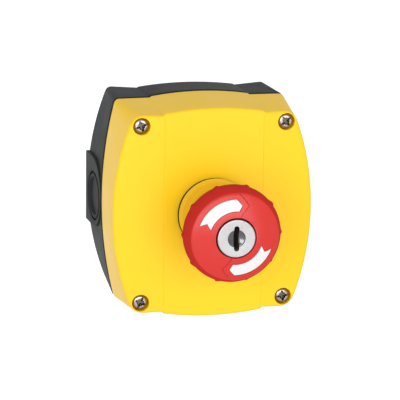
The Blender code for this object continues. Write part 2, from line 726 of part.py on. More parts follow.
def make_mushroom_cap():
    """The red head: domed face, toothed rim, hollow underside and the hub that slides in the neck."""
    face = [mix(HEAD_BORE_RADIUS, FACE_EDGE_RADIUS, share) for share in (0.0, 0.3, 0.6, 0.85, 1.0)]
    stations = [(radius, face_height(radius), 0.0) for radius in face]
    stations += [
        (18.1, 92.8, 0.0), (18.85, 91.2, 0.2), (HEAD_RADIUS, 89.2, 1.0),
        (HEAD_RADIUS, 86.6, 1.0), (18.5, SKIRT_BOTTOM, 0.4), (16.9, SKIRT_BOTTOM, 0.0),
        (15.9, 90.4, 0.0), (HUB_RADIUS, 91.0, 0.0), (HUB_RADIUS, HUB_BOTTOM, 0.0),
        (HEAD_BORE_RADIUS, HUB_BOTTOM, 0.0),
    ]
    rings = []
    for radius, height, weight in stations:
        ring = []
        for i in range(HEAD_POINTS):
            degrees = 360.0 * i / HEAD_POINTS
            ring.append(polar(radius + weight * tooth(degrees), degrees, height))
        rings.append(ring)
    cap = place(loft(rings, "mushroom_cap", closed=True), "mushroom_cap", MATERIALS["button_red"], PRESS_AXIS)
    for word, turn in (("upper", 0.0), ("lower", 180.0)):
        pocket = arrow_mesh(f"arrow_pocket_{word}", turn, ARROW_CLEARANCE, ARROW_POCKET, -ARROW_POCKET)
        combine(cap, as_tool(pocket, f"arrow_pocket_{word}"))
        inlay = arrow_mesh(f"arrow_inlay_{word}", turn, 0.0, ARROW_PROUD, ARROW_PROUD - ARROW_DEPTH)
        bake(place(inlay, f"arrow_inlay_{word}", MATERIALS["arrow_white"], PRESS_AXIS))
    bake(cap)


def make_lock():
    """Chrome barrel with a dished mouth, the rotor behind it, the rotor's cam and the barrel's clip."""
    cap_bottom = ROTOR_TOP + CLEARANCE
    mouth = ROTOR_NOSE_RADIUS + 0.2
    groove_low, groove_high = LOCK_GROOVE
    profile = [
        (LOCK_RADIUS - 0.35, LOCK_FACE), (LOCK_RADIUS, LOCK_FACE - 0.35), (LOCK_RADIUS, LOCK_COLLAR_BOTTOM),
        (LOCK_BODY_RADIUS, LOCK_COLLAR_BOTTOM - 0.3), (LOCK_BODY_RADIUS, groove_high),
        (LOCK_GROOVE_RADIUS, groove_high), (LOCK_GROOVE_RADIUS, groove_low), (LOCK_BODY_RADIUS, groove_low),
        (LOCK_BODY_RADIUS, LOCK_BOTTOM), (ROTOR_RADIUS + CLEARANCE, LOCK_BOTTOM),
        (ROTOR_RADIUS + CLEARANCE, cap_bottom), (mouth, cap_bottom), (mouth, LOCK_FACE - 0.2),
        (mouth + 0.2, LOCK_FACE),
    ]
    barrel = place(turned(profile, "lock_barrel", 32), "lock_barrel", MATERIALS["chrome"], PRESS_AXIS)
    half = KEY_SLOT_WIDTH / 2
    reach = KEY_SLOT_LENGTH / 2
    notch = box("key_notch", (-half, -reach, cap_bottom - 0.1), (half, reach, LOCK_FACE + 1.0))
    combine(barrel, as_tool(notch, "key_notch"))
    bake(barrel)
    profile = [*ROTOR_DISH, (ROTOR_NOSE_RADIUS, ROTOR_NOSE_TOP), (ROTOR_NOSE_RADIUS, ROTOR_TOP),
               (ROTOR_RADIUS, ROTOR_TOP), (ROTOR_RADIUS, ROTOR_BOTTOM), (0.0, ROTOR_BOTTOM)]
    rotor = place(turned(profile, "lock_rotor", 28), "lock_rotor", MATERIALS["chrome"], KEY_AXIS)
    reach = ROTOR_SLOT_LENGTH / 2
    slot = box("key_slot", (-half, -reach, KEY_SLOT_BOTTOM), (half, reach, LOCK_FACE + 1.0))
    combine(rotor, as_tool(slot, "key_slot"))
    bake(rotor)
    cam = place(rod("lock_cam", CAM_RADIUS, CAM_BOTTOM, ROTOR_BOTTOM - CLEARANCE, segments=32), "lock_cam",
                MATERIALS["brass"], KEY_AXIS)
    pin = rod("cam_pin", CAM_PIN_RADIUS, LATCH_BOTTOM + CLEARANCE, CAM_BOTTOM + 0.8, (0.0, CAM_PIN_OFFSET), 16)
    combine(cam, as_tool(pin, "cam_pin"), "UNION")
    bake(cam)
    low, high = LOCK_CLIP
    inner, outer = LOCK_CLIP_RADII
    ring = [(outer, high), (outer, low), (inner, low), (inner, high)]
    clip = place(turned(ring, "lock_clip", 24), "lock_clip", MATERIALS["spring_steel"], PRESS_AXIS)
    half = LOCK_CLIP_GAP / 2
    gap = box("clip_gap", (-half, -outer - 1.0, low - 1.0), (half, 0.0, high + 1.0))
    combine(clip, as_tool(gap, "clip_gap"))
    bake(clip)


def make_pusher():
    """The stem under the head, with a groove for its seal and a channel for the latch."""
    seal_top = SEAL_BOTTOM + SEAL_HEIGHT
    groove_low = SEAL_BOTTOM - SEAL_MARGIN
    groove_high = seal_top + SEAL_MARGIN
    profile = [
        (0.0, PUSHER_TOP), (PUSHER_RADIUS, PUSHER_TOP), (PUSHER_RADIUS, groove_high),
        (SEAL_GROOVE_RADIUS, groove_high), (SEAL_GROOVE_RADIUS, groove_low), (PUSHER_RADIUS, groove_low),
        (PUSHER_RADIUS, PUSHER_SHOULDER), (NOSE_RADIUS, PUSHER_SHOULDER), (NOSE_RADIUS, NOSE_BOTTOM),
        (0.0, NOSE_BOTTOM),
    ]
    pusher = place(turned(profile, "pusher", 28), "pusher", MATERIALS["inner_grey"], PRESS_AXIS)
    floor = LATCH_BOTTOM - CLEARANCE
    top = PUSHER_TOP + 2.0
    for name, (start, end), half in (("latch_channel", LATCH_CHANNEL, LATCH_CHANNEL_HALF),
                                     ("latch_spring_pocket", SPRING_POCKET, SPRING_POCKET_HALF)):
        combine(pusher, as_tool(box(name, (start, -half, floor), (end, half, top)), name))
    bake(pusher)
    inner, outer = SEAL_RADII
    ring = [(outer, seal_top), (outer, SEAL_BOTTOM), (inner, SEAL_BOTTOM), (inner, seal_top)]
    bake(place(turned(ring, "stem_seal", 28), "stem_seal", MATERIALS["rubber_black"], PRESS_AXIS))


def make_latch():
    start, end = LATCH_LENGTH
    plate = box("latch_slider", (start, -LATCH_HALF_WIDTH, LATCH_BOTTOM), (end, LATCH_HALF_WIDTH, LATCH_TOP))
    slider = place(plate, "latch_slider", MATERIALS["spring_steel"], LATCH_AXIS)
    start, end = LATCH_TIP
    tip = box("latch_tip", (start, -LATCH_TIP_HALF, LATCH_BOTTOM), (end, LATCH_TIP_HALF, LATCH_TOP))
    combine(slider, as_tool(tip, "latch_tip"), "UNION")
    low, high = LATCH_WINDOW
    window = box("latch_window", (-LATCH_WINDOW_HALF, low, LATCH_BOTTOM - 5.0),
                 (LATCH_WINDOW_HALF, high, LATCH_TOP + 5.0))
    combine(slider, as_tool(window, "latch_window"))
    bake(slider)
    near, far = LATCH_SPRING
    spring = coil("latch_spring", 1.0, 0.2, -far, -near, 4, MATERIALS["spring_steel"], LATCH_AXIS, 8)
    spring.rotation_euler.y = -math.pi / 2
    spring.location = Vector((0.0, 0.0, (LATCH_BOTTOM + LATCH_TOP) / 2)) * MM


# Contact block

def make_contact_block():
    length = BLOCK_HALF_LENGTH
    inner = length - BLOCK_WALL
    low = (BLOCK_LEFT, -length, BLOCK_BOTTOM)
    housing = place(box("contact_block_housing", low, (BLOCK_SPLIT, length, BLOCK_TOP)),
                    "contact_block_housing", MATERIALS["inner_grey"], STATION)
    hollow = box("block_hollow", (BLOCK_LEFT + BLOCK_WALL, -inner, BLOCK_BOTTOM + BLOCK_WALL),
                 (BLOCK_SPLIT + 2.0, inner, BLOCK_TOP - BLOCK_WALL))
    combine(housing, as_tool(hollow, "block_hollow"))
    hole = rod("plunger_hole", PLUNGER_RADIUS + 0.4, BLOCK_TOP - 3.0, BLOCK_TOP + 2.0, segments=24)
    combine(housing, as_tool(hole, "plunger_hole"))
    for side, word in ((1, "upper"), (-1, "lower")):
        access = rod(f"screw_access_{word}", SCREW_ACCESS_RADIUS, BLOCK_TOP - 3.0, BLOCK_TOP + 2.0,
                     (0.0, side * TERMINAL_Y), 20)
        combine(housing, as_tool(access, f"screw_access_{word}"))
        low, high = WIRE_ENTRY
        entry = box(f"wire_entry_{word}", (-WIRE_ENTRY_HALF, side * length - 3.0, low),
                    (WIRE_ENTRY_HALF, side * length + 3.0, high))
        combine(housing, as_tool(entry, f"wire_entry_{word}"))
    bake(housing)
    low = (BLOCK_SPLIT + CLEARANCE, -length, BLOCK_BOTTOM)
    lid = box("contact_block_cover", low, (BLOCK_RIGHT, length, BLOCK_TOP))
    bake(place(lid, "contact_block_cover", MATERIALS["inner_grey"], STATION))
    for side, word in ((1, "upper"), (-1, "lower")):
        make_terminal(side, word)


def make_terminal(side, word):
    """One fixed contact strip with its clamp and its screw."""
    centre = (0.0, side * TERMINAL_Y)
    plates = (
        ("fixed_contact", "brass", CONTACT_ENDS, CONTACT_HALF_WIDTH, (CONTACT_BOTTOM, CONTACT_TOP)),
        ("terminal_clamp", "spring_steel", CLAMP_ENDS, CLAMP_HALF_WIDTH, CLAMP_HEIGHTS),
    )
    for stem, material, ends, half, (low, high) in plates:
        name = f"{stem}_{word}"
        near, far = sorted(side * end for end in ends)
        plate = place(box(name, (-half, near, low), (half, far, high)), name, MATERIALS[material], STATION)
        hole = rod(f"{stem}_hole_{word}", TERMINAL_HOLE, low - 2.0, high + 2.0, centre, 18)
        combine(plate, as_tool(hole, f"{stem}_hole_{word}"))
        bake(plate)
    screw = place(turned(TERMINAL_SCREW, f"terminal_screw_{word}", 20), f"terminal_screw_{word}",
                  MATERIALS["screw_steel"], STATION, (*centre, 0.0))
    floor, width = TERMINAL_SLOT
    slot = box(f"terminal_slot_{word}", (-3.0, centre[1] - width / 2, floor),
               (3.0, centre[1] + width / 2, BLOCK_TOP))
    combine(screw, as_tool(slot, f"terminal_slot_{word}"))
    bake(screw)


def make_contact_carrier():
    """The plunger that the button pushes, and the bridge that it takes off the fixed contacts."""
    plunger = place(rod("contact_plunger", PLUNGER_RADIUS, PLUNGER_BOTTOM, PLUNGER_TOP, segments=28),
                    "contact_plunger", MATERIALS["plunger_white"], PLUNGER_AXIS)
    half = BRIDGE_HALF_WIDTH + CLEARANCE
    window = box("bridge_window", (-half, -5.0, BRIDGE_BOTTOM - 0.4), (half, 5.0, BRIDGE_TOP + 0.4))
    combine(plunger, as_tool(window, "bridge_window"))
    bake(plunger)
    bridge = box("contact_bridge", (-BRIDGE_HALF_WIDTH, -BRIDGE_HALF_LENGTH, BRIDGE_BOTTOM),
                 (BRIDGE_HALF_WIDTH, BRIDGE_HALF_LENGTH, BRIDGE_TOP))
    bake(place(bridge, "contact_bridge", MATERIALS["brass"], PLUNGER_AXIS))
    coil("contact_spring", 1.9, 0.3, BLOCK_BOTTOM + BLOCK_WALL + 0.3, PLUNGER_BOTTOM - 0.3, 5,
         MATERIALS["spring_steel"], PLUNGER_AXIS, 8)


clear_scene()
PARTS = new_collection("emergency_stop_station")
CUTTERS = new_collection("cutters")
MATERIALS = {
    "cover_yellow": new_material("cover_yellow", (0.95, 0.68, 0.03), 0.38),
    "base_grey": new_material("base_grey", (0.045, 0.05, 0.055), 0.5),
    "button_red": new_material("button_red", (0.72, 0.04, 0.035), 0.32),
    "arrow_white": new_material("arrow_white", (0.9, 0.9, 0.89), 0.4),
    "chrome": new_material("chrome", (0.78, 0.78, 0.79), 0.18, 1.0),
    "screw_steel": new_material("screw_steel", (0.62, 0.57, 0.52), 0.3, 1.0),
    "spring_steel": new_material("spring_steel", (0.5, 0.5, 0.52), 0.35, 1.0),
    "brass": new_material("brass", (0.72, 0.5, 0.2), 0.35, 1.0),
    "rubber_black": new_material("rubber_black", (0.012, 0.012, 0.012), 0.7),
    "inner_grey": new_material("inner_grey", (0.16, 0.165, 0.17), 0.5),
    "plunger_white": new_material("plunger_white", (0.75, 0.74, 0.7), 0.45),
}
STATION = new_empty("station")
STATION.rotation_euler.x = math.pi / 2
PRESS_AXIS = new_empty("press_axis", STATION)
KEY_AXIS = new_empty("key_axis", PRESS_AXIS)
LATCH_AXIS = new_empty("latch_axis", PRESS_AXIS)
PLUNGER_AXIS = new_empty("plunger_axis", STATION)

make_rear_base()
make_front_cover()
make_cover_gasket()
make_cover_screws()
make_actuator_body()
make_bezel_gasket()
make_fixing_nut()
make_mounting_adapter()
make_mushroom_cap()
make_lock()
make_pusher()
make_latch()
coil("return_spring", 6.4, 0.4, TUBE_FLOOR + CLEARANCE, PUSHER_SHOULDER - CLEARANCE, 5,
     MATERIALS["spring_steel"], PRESS_AXIS, 9)
make_contact_block()
make_contact_carrier()
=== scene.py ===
"""Looks of the emergency stop station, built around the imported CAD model.

Shapes are worked out with the station lying on its back: points are (x, y, h) in millimetres, with x to the
right, y up the wall and h out of the wall. piece() turns a finished mesh into the frame's own axes, where the
station faces -Y, in metres.
"""
import math

import bmesh
import bpy
from mathutils import Matrix, Vector


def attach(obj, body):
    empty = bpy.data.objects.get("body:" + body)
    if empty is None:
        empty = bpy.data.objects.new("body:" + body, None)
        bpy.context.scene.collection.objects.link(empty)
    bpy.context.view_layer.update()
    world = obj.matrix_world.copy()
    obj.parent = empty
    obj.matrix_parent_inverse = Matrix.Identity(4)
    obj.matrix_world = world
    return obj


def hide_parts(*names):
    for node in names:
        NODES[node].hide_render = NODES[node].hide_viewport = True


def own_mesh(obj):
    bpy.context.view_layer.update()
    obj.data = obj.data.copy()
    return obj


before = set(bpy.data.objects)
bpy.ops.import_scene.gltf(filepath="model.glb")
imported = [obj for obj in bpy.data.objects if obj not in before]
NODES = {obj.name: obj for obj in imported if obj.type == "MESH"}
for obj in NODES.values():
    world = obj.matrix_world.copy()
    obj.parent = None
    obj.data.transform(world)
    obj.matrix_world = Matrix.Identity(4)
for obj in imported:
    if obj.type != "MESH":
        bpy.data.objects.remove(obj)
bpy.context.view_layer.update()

MM = 0.001

# Box: outlines at the wall, at the joint between the halves and at the cover's face
REAR = dict(half_width=41.1, corner=(33.1, 41.2), half_height=42.0,
            band_edge=40.6, side_top=40.2, radius=2.0)
JOINT = dict(half_width=40.0, corner=(34.7, 41.5), half_height=43.7,
             band_edge=42.1, side_top=41.6, radius=1.8)
FRONT = dict(half_width=40.5, corner=(32.3, 40.5), half_height=42.6,
             band_edge=40.9, side_top=40.2, radius=4.6)
BAND_HALF_WIDTH = 20.0
STEP_WIDTH = 0.5
STEP_ROUND = 0.18
BOX_DEPTH = 56.0
JOINT_HEIGHT = 26.5
JOINT_GAP = 0.8
SKIN_GAP = 0.02
GASKET_INNER_INSET = 2.1
FACE_SLOPE = 0.057
CREASE_DEPTH = 0.2
SIDE_DROP = 0.04
RIM_LIP = 1.0
RIM_LIP_INSET = 0.75
WALL = 2.5
FLOOR = 2.5
CEILING = 53.2
EDGE_ROUND = 1.3
BACK_ROUND = 0.6
RIM_ROUND = 0.6
SIDE_STEPS = 26
CORNER_STEPS = 12
BAND_STEPS = 16
FILLET_STEPS = 7

# Cover screws, pillars and inserts
SCREW_X = 29.2
SCREW_Y = 36.0
PILLAR_RADIUS = 4.6
COUNTERBORE_RADIUS = 3.45
COUNTERBORE_LIP = 0.22
SCREW_SEAT = 52.2
SCREW_HEAD_RADIUS = 3.25
SCREW_HEAD_TOP = 54.5
SCREW_RADIUS = 1.95
SCREW_TIP = 15.0
SCREW_THREADS = 22
SCREW_HOLE_RADIUS = 2.3
INSERT_RADIUS = 3.0
INSERT_BOTTOM = 16.5
SCREW_TURNS = (20.0, 38.0, 64.0, 8.0)
DRIVE_DEPTH = 1.7
DRIVE_SLOTS = ((0.0, 0.55, 4.6, 0.0), (90.0, 0.55, 4.6, 0.0), (45.0, 0.28, 3.3, 0.7), (135.0, 0.28, 3.3, 0.7),
               (90.0, 0.32, 6.0, 0.95))

# Wall fixing slots and cable-entry pads
SLOT_Y = 33.0
SLOT_RADIUS = 2.2
SLOT_LENGTH = 8.0
PAD_RADIUS = 14.5
PAD_CENTRE_HEIGHT = 12.3
PAD_INNER = 36.0
PAD_FRONT = 40.3
PAD_REAR = 41.8
KNOCKOUT_Y = -1.5
KNOCKOUT_HEIGHT = 14.0
KNOCKOUT_RADIUS = 10.25
KNOCKOUT_GROOVE = 1.1
KNOCKOUT_DISH_RADIUS = 8.0
KNOCKOUT_DEPTH = 1.0

# Actuator
PANEL_HOLE_RADIUS = 11.3
FLANGE_RADIUS = 14.5
FLANGE_BOTTOM = 57.5
FLANGE_TOP = 58.2
# The seal sits off centre, left and down, so its black shows wider at the left as painted shade in the gap
# there
GASKET_SHADE_SHIFT = (-0.22, -0.12)
NECK_RADIUS = 10.7
NECK_TOP = 83.0
TUBE_RADIUS = 10.9
TUBE_BOTTOM = 36.5
TUBE_FLOOR = 38.5
THREAD_TOP = 54.0
ACTUATOR_TURNS = 16
THREAD_DEPTH = 0.5
BORE_RADIUS = 9.4
NOSE_HOLE_RADIUS = 4.3
LATCH_GROOVE = (60.1, 63.9, 10.1)
PUSHER_SHOULDER = 50.0

# Mushroom head; angles are clockwise from the top, as seen from the front
HEAD_RADIUS = 19.2
TOOTH_HEIGHT = 0.6
TOOTH_COUNT = 10
TOOTH_ANGLE = 18.0
TOOTH_RISE = 6.5
TOOTH_FALL = 3.5
FACE_EDGE_RADIUS = 17.1
FACE_EDGE_HEIGHT = 93.5
FACE_INNER_HEIGHT = 95.6
HEAD_BORE_RADIUS = 7.95
HUB_RADIUS = 9.1
HUB_BOTTOM = 70.0
SKIRT_BOTTOM = 84.4
RELIEF_DROP = 0.45
RELIEF_STEP = 2.0
RELIEF_RAMP = (45.0, 50.0)
# Angles after each arrow's tip where the step gets its painted shade line
SHADE_LINE_SPAN = (0.7, 1.65)
POCKET_DEPTH = 0.8
RELIEF_TIP = ((7.95, 10.6), (8.2, 10.6), (13.3, 21.6), (17.3, 2.5), (30.0, 2.5))
ARROW_RADII = (10.6, 12.8, 15.0)
ARROW_STARTS = (-70.0, -62.0, -70.0)
ARROW_ENDS = (6.0, 10.5, 1.0)
ARROW_DEPTH = 0.6
ARROW_PROUD = 0.08
ARROW_GAP = 0.2

# Lock
LOCK_FACE = 96.1
LOCK_RADIUS = 7.5
LOCK_BODY_RADIUS = 7.3
LOCK_BOTTOM = 74.5
ROTOR_RADIUS = 5.2
ROTOR_NOSE_RADIUS = 3.35
ROTOR_TOP = 94.2
ROTOR_BOTTOM = 73.5
KEY_SLOT_WIDTH = 2.1
KEY_SLOT_LENGTH = 10.0
ROTOR_SLOT_LENGTH = 9.4
KEY_SLOT_BOTTOM = 82.0
DISH_BOTTOM = 94.75
DISH_RISE = 1.05
BARREL_GROOVE = (79.6, 81.0, 6.75)

# Springs: lower and upper end, or near and far end, then coil radius, wire radius and number of turns
RETURN_SPRING = (TUBE_FLOOR + 0.3, PUSHER_SHOULDER - 0.3)
RETURN_COIL = (6.4, 0.4, 5)
CONTACT_SPRING = (7.6, 17.0)
CONTACT_COIL = (1.9, 0.3, 5)
LATCH_SPRING = (3.7, 7.9)
LATCH_COIL = (1.0, 0.2, 4)
LATCH_MIDDLE = 67.5

# Looks and studio
SMOOTH_ANGLE = math.radians(34)
FLOOR_LEVEL = -0.2
FLOOR_SIZE = 8.0
FLOOR_GLOW = 0.45
GLOW_RANGE = (0.12, 0.3)
WORLD_GREY = (0.69, 0.69, 0.695)
STATION_MIDDLE = (0.0, -0.05, 0.0)
FRONT_LIGHT = dict(place=(0.2, -2.0, 0.2), size=(1.2, 1.2), watts=16.7)
CARD_LIGHT = dict(place=(-0.8, -1.45, 0.25), size=(0.66, 0.8), watts=6.2)
CAMERA_ANGLES = (12.579, 14.148, 0.746)
CAMERA_DISTANCE = 1038.9
CAMERA_OFFSET = (-5.468, 5.205)
SENSOR_WIDTH = 36.0
FOCAL_LENGTH = 235.4


# Meshes

def mix(a, b, share):
    """The value a share of the way from a to b."""
    return a + (b - a) * share


def smooth(share):
    """An even ease from 0 to 1."""
    share = min(1.0, max(0.0, share))
    return share * share * (3 - 2 * share)


def polar(radius, degrees, height):
    """A point at an angle clockwise from the top."""
    angle = math.radians(degrees)
    return (radius * math.sin(angle), radius * math.cos(angle), height)


def to_mesh(shape, name):
    """Turn a bmesh into a mesh whose faces point outwards, and free it."""
    bmesh.ops.recalc_face_normals(shape, faces=shape.faces)
    mesh = bpy.data.meshes.new(name)
    shape.to_mesh(mesh)
    shape.free()
    return mesh


def loft(rings, name, closed=False, caps=None):
    """Join rings of points. An open loft is capped; caps can divide its last cap into flat faces."""
    shape = bmesh.new()
    rows = [[shape.verts.new(Vector(point) * MM) for point in ring] for ring in rings]
    pairs = list(zip(rows, rows[1:]))
    if closed:
        pairs.append((rows[-1], rows[0]))
    count = len(rings[0])
    for lower, upper in pairs:
        for i in range(count):
            j = (i + 1) % count
            shape.faces.new((lower[i], lower[j], upper[j], upper[i]))
    if not closed:
        shape.faces.new(rows[0])
        for cap in caps or [range(count)]:
            shape.faces.new([rows[-1][i] for i in cap])
    return to_mesh(shape, name)


def rounded(corners, steps=4):
    """A profile of (radius, height) points with each (radius, height, fillet) corner turned into an arc."""
    points = []
    count = len(corners)
    for i, corner in enumerate(corners):
        here = Vector(corner[:2])
        fillet = corner[2] if len(corner) > 2 else 0.0
        if not fillet or (i in (0, count - 1) and corners[0][0] == 0.0):
            points.append(tuple(here))
            continue
        before = (Vector(corners[i - 1][:2]) - here).normalized()
        after = (Vector(corners[(i + 1) % count][:2]) - here).normalized()
        half = before.angle(after) / 2
        reach = fillet / math.tan(half)
        centre = here + (before + after).normalized() * (fillet / math.sin(half))
        start = here + before * reach - centre
        end = here + after * reach - centre
        for k in range(steps + 1):
            share = k / steps
            arm = start.lerp(end, share)
            points.append(tuple(centre + arm.normalized() * fillet))
    return points


def turned(profile, name, segments=96):
    """Turn a (radius, height) profile about h. It starts and ends on the axis, or closes on itself."""
    shape = bmesh.new()
    rows = []
    for radius, height in profile:
        if radius == 0.0:
            rows.append([shape.verts.new(Vector((0.0, 0.0, height)) * MM)] * segments)
        else:
            ring = (polar(radius, 360 * i / segments, height) for i in range(segments))
            rows.append([shape.verts.new(Vector(point) * MM) for point in ring])
    pairs = list(zip(rows, rows[1:]))
    if profile[0][0] > 0.0:
        pairs.append((rows[-1], rows[0]))
    for upper, lower in pairs:
        for i in range(segments):
            j = (i + 1) % segments
            corners = []
            for vert in (upper[i], upper[j], lower[j], lower[i]):
                if vert not in corners:
                    corners.append(vert)
            shape.faces.new(corners)
    return to_mesh(shape, name)


def prism(outline, low, high, name):
    """A straight prism over a flat outline of (x, y) points."""
    return loft([[(x, y, h) for x, y in outline] for h in (low, high)], name)


def rod_outline(radius, centre=(0.0, 0.0), segments=48):
    """A circle of points."""
    return [(centre[0] + radius * math.cos(2 * math.pi * i / segments),
             centre[1] + radius * math.sin(2 * math.pi * i / segments)) for i in range(segments)]


def slot_outline(half_width, length, centre=(0.0, 0.0), turn=0.0, steps=8):
    """An upright slot with round ends, turned clockwise by an angle in degrees."""
    reach = length / 2 - half_width
    points = []
    for i in range(2 * steps + 2):
        half = i // (steps + 1)
        angle = math.pi * (i % (steps + 1)) / steps + math.pi * half
        shift = reach if half == 0 else -reach
        point = Vector((half_width * math.cos(angle), shift + half_width * math.sin(angle)))
        point.rotate(Matrix.Rotation(-math.radians(turn), 2))
        points.append((centre[0] + point.x, centre[1] + point.y))
    return points


def temporary(mesh):
    """A mesh as an object in the scene, for combined() to work with and remove."""
    tool = bpy.data.objects.new(mesh.name, mesh)
    bpy.context.scene.collection.objects.link(tool)
    return tool


def combined(mesh, steps):
    """Cut, join or intersect a mesh with others, given as (operation, mesh) steps, and return the result."""
    base = temporary(mesh)
    tools = [base]
    for operation, tool_mesh in steps:
        tool = temporary(tool_mesh)
        tools.append(tool)
        modifier = base.modifiers.new(tool.name, "BOOLEAN")
        modifier.operation = operation
        modifier.object = tool
        modifier.solver = "EXACT"
    graph = bpy.context.evaluated_depsgraph_get()
    result = bpy.data.meshes.new_from_object(base.evaluated_get(graph))
    result.name = mesh.name
    for tool in tools:
        bpy.data.objects.remove(tool)
    return result


def moved(mesh, location=(0.0, 0.0, 0.0), turn=0.0):
    """A copy of a mesh, turned clockwise as seen from the front and then moved."""
    copy = mesh.copy()
    shift = Matrix.Translation(Vector(location) * MM)
    copy.transform(shift @ Matrix.Rotation(-math.radians(turn), 4, "Z"))
    return copy


def piece(name, mesh, material, body, nodes):
    """Stand a mesh up in the frame as a shown piece that rides on a body and replaces CAD nodes."""
    mesh = mesh.copy()
    mesh.transform(Matrix.Rotation(math.pi / 2, 4, "X"))
    mesh.materials.clear()
    mesh.materials.append(material)
    mesh.shade_smooth()
    mesh.set_sharp_from_angle(angle=SMOOTH_ANGLE)
    shown = bpy.data.objects.new(name, mesh)
    bpy.context.scene.collection.objects.link(shown)
    weights = shown.modifiers.new("weighted normals", "WEIGHTED_NORMAL")
    weights.keep_sharp = True
    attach(shown, body)
    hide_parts(*nodes)
    return shown


# Materials

class Nodes:
    """A material's node tree with short calls for the nodes that the finishes below share."""

    def __init__(self, name, roughness, metallic=0.0):
        self.material = bpy.data.materials.new(name)
        self.material.use_nodes = True
        self.tree = self.material.node_tree
        self.shader = self.tree.nodes["Principled BSDF"]
        self.shader.inputs["Roughness"].default_value = roughness
        self.shader.inputs["Metallic"].default_value = metallic
        self.place = self.tree.nodes.new("ShaderNodeTexCoord").outputs["Object"]

    def link(self, output, node, socket):
        self.tree.links.new(output, node.inputs[socket])

    def stretched(self, scale):
        mapping = self.tree.nodes.new("ShaderNodeMapping")
        mapping.inputs["Scale"].default_value = scale
        self.link(self.place, mapping, "Vector")
        return mapping.outputs["Vector"]

    def noise(self, scale, detail=2.0, roughness=0.5, vector=None):
        texture = self.tree.nodes.new("ShaderNodeTexNoise")
        texture.inputs["Scale"].default_value = scale
        texture.inputs["Detail"].default_value = detail
        texture.inputs["Roughness"].default_value = roughness
        self.link(vector or self.place, texture, "Vector")
        return texture.outputs["Fac"]

    def ramp(self, output, stops):
        ramp = self.tree.nodes.new("ShaderNodeValToRGB")
        elements = ramp.color_ramp.elements
        while len(elements) < len(stops):
            elements.new(0.5)
        for element, (position, colour) in zip(elements, stops):
            element.position = position
            element.color = (*colour, 1.0)
        self.link(output, ramp, "Fac")
        return ramp.outputs["Color"]

    def ranged(self, output, low, high, start=0.3, end=0.7):
        change = self.tree.nodes.new("ShaderNodeMapRange")
        change.inputs["From Min"].default_value = start
        change.inputs["From Max"].default_value = end
        change.inputs["To Min"].default_value = low
        change.inputs["To Max"].default_value = high
        self.link(output, change, "Value")
        return change.outputs["Result"]

    def colour(self, output):
        self.link(output, self.shader, "Base Color")

    def roughness(self, output):
        self.link(output, self.shader, "Roughness")

    def bump(self, output, height, strength=1.0, after=None):
        bump = self.tree.nodes.new("ShaderNodeBump")
        bump.inputs["Strength"].default_value = strength
        bump.inputs["Distance"].default_value = height
        self.link(output, bump, "Height")
        if after:
            self.link(after, bump, "Normal")
        self.link(bump.outputs["Normal"], self.shader, "Normal")
        return bump.outputs["Normal"]


def shade(colour, factor):
    """A colour with each channel scaled by its own factor."""
    return tuple(min(1.0, c * f) for c, f in zip(colour, factor))


def moulded(name, colour, roughness, grain=0.000012, grain_scale=2600.0, tone=0.03, specular=0.5):
    """Injection-moulded plastic: slow colour drift, faint flow marks and a fine eroded grain."""
    nodes = Nodes(name, roughness)
    nodes.shader.inputs["Specular IOR Level"].default_value = specular
    drift = nodes.noise(28.0, 3.0, 0.55)
    nodes.colour(nodes.ramp(drift, [(0.32, shade(colour, (1 - tone, 1 - tone * 1.3, 1 - tone * 1.6))),
                                    (0.68, shade(colour, (1 + tone * 0.4, 1 + tone * 0.6, 1 + tone)))]))
    nodes.roughness(nodes.ranged(nodes.noise(90.0, 4.0, 0.6), roughness - 0.04, roughness + 0.05))
    waves = nodes.bump(nodes.noise(60.0, 2.0, 0.5), 0.00006, 0.35)
    nodes.bump(nodes.noise(grain_scale, 2.0, 0.6), grain, 0.6, waves)
    return nodes.material


def metal(name, colour, roughness, scale, tone=0.08, height=0.000006, scratches=(1.0, 1.0, 1.0)):
    """Plated or bare metal with fine scratches, uneven polish and a slight change of tint."""
    nodes = Nodes(name, roughness, 1.0)
    tint = nodes.noise(240.0, 3.0, 0.6)
    nodes.colour(nodes.ramp(tint, [(0.3, shade(colour, (1 - tone,) * 3)), (0.7, colour)]))
    marks = nodes.noise(scale, 4.0, 0.65, nodes.stretched(scratches))
    nodes.roughness(nodes.ranged(marks, roughness - 0.05, roughness + 0.09))
    nodes.bump(marks, height, 0.5)
    return nodes.material


YELLOW = moulded("cover_yellow_plastic", (0.96, 0.605, 0.008), 0.4, tone=0.015, specular=0.3)
BEZEL_YELLOW = moulded("bezel_yellow_plastic", (0.86, 0.53, 0.012), 0.36, tone=0.015, specular=0.35)
GREY = moulded("base_grey_plastic", (0.022, 0.0265, 0.028), 0.55, grain=0.00002, tone=0.1, specular=0.13)
RED = moulded("button_red_plastic", (0.62, 0.025, 0.018), 0.3, grain=0.000006, tone=0.04, specular=0.42)
# The rim's red is less glossy than the face's, and darker as painted shade on the rim
SKIRT_MATTE_SHADE_RED = moulded("button_red_skirt_matte_painted_shade", (0.52, 0.026, 0.02), 0.6, grain=0.000006, tone=0.04, specular=0.02)
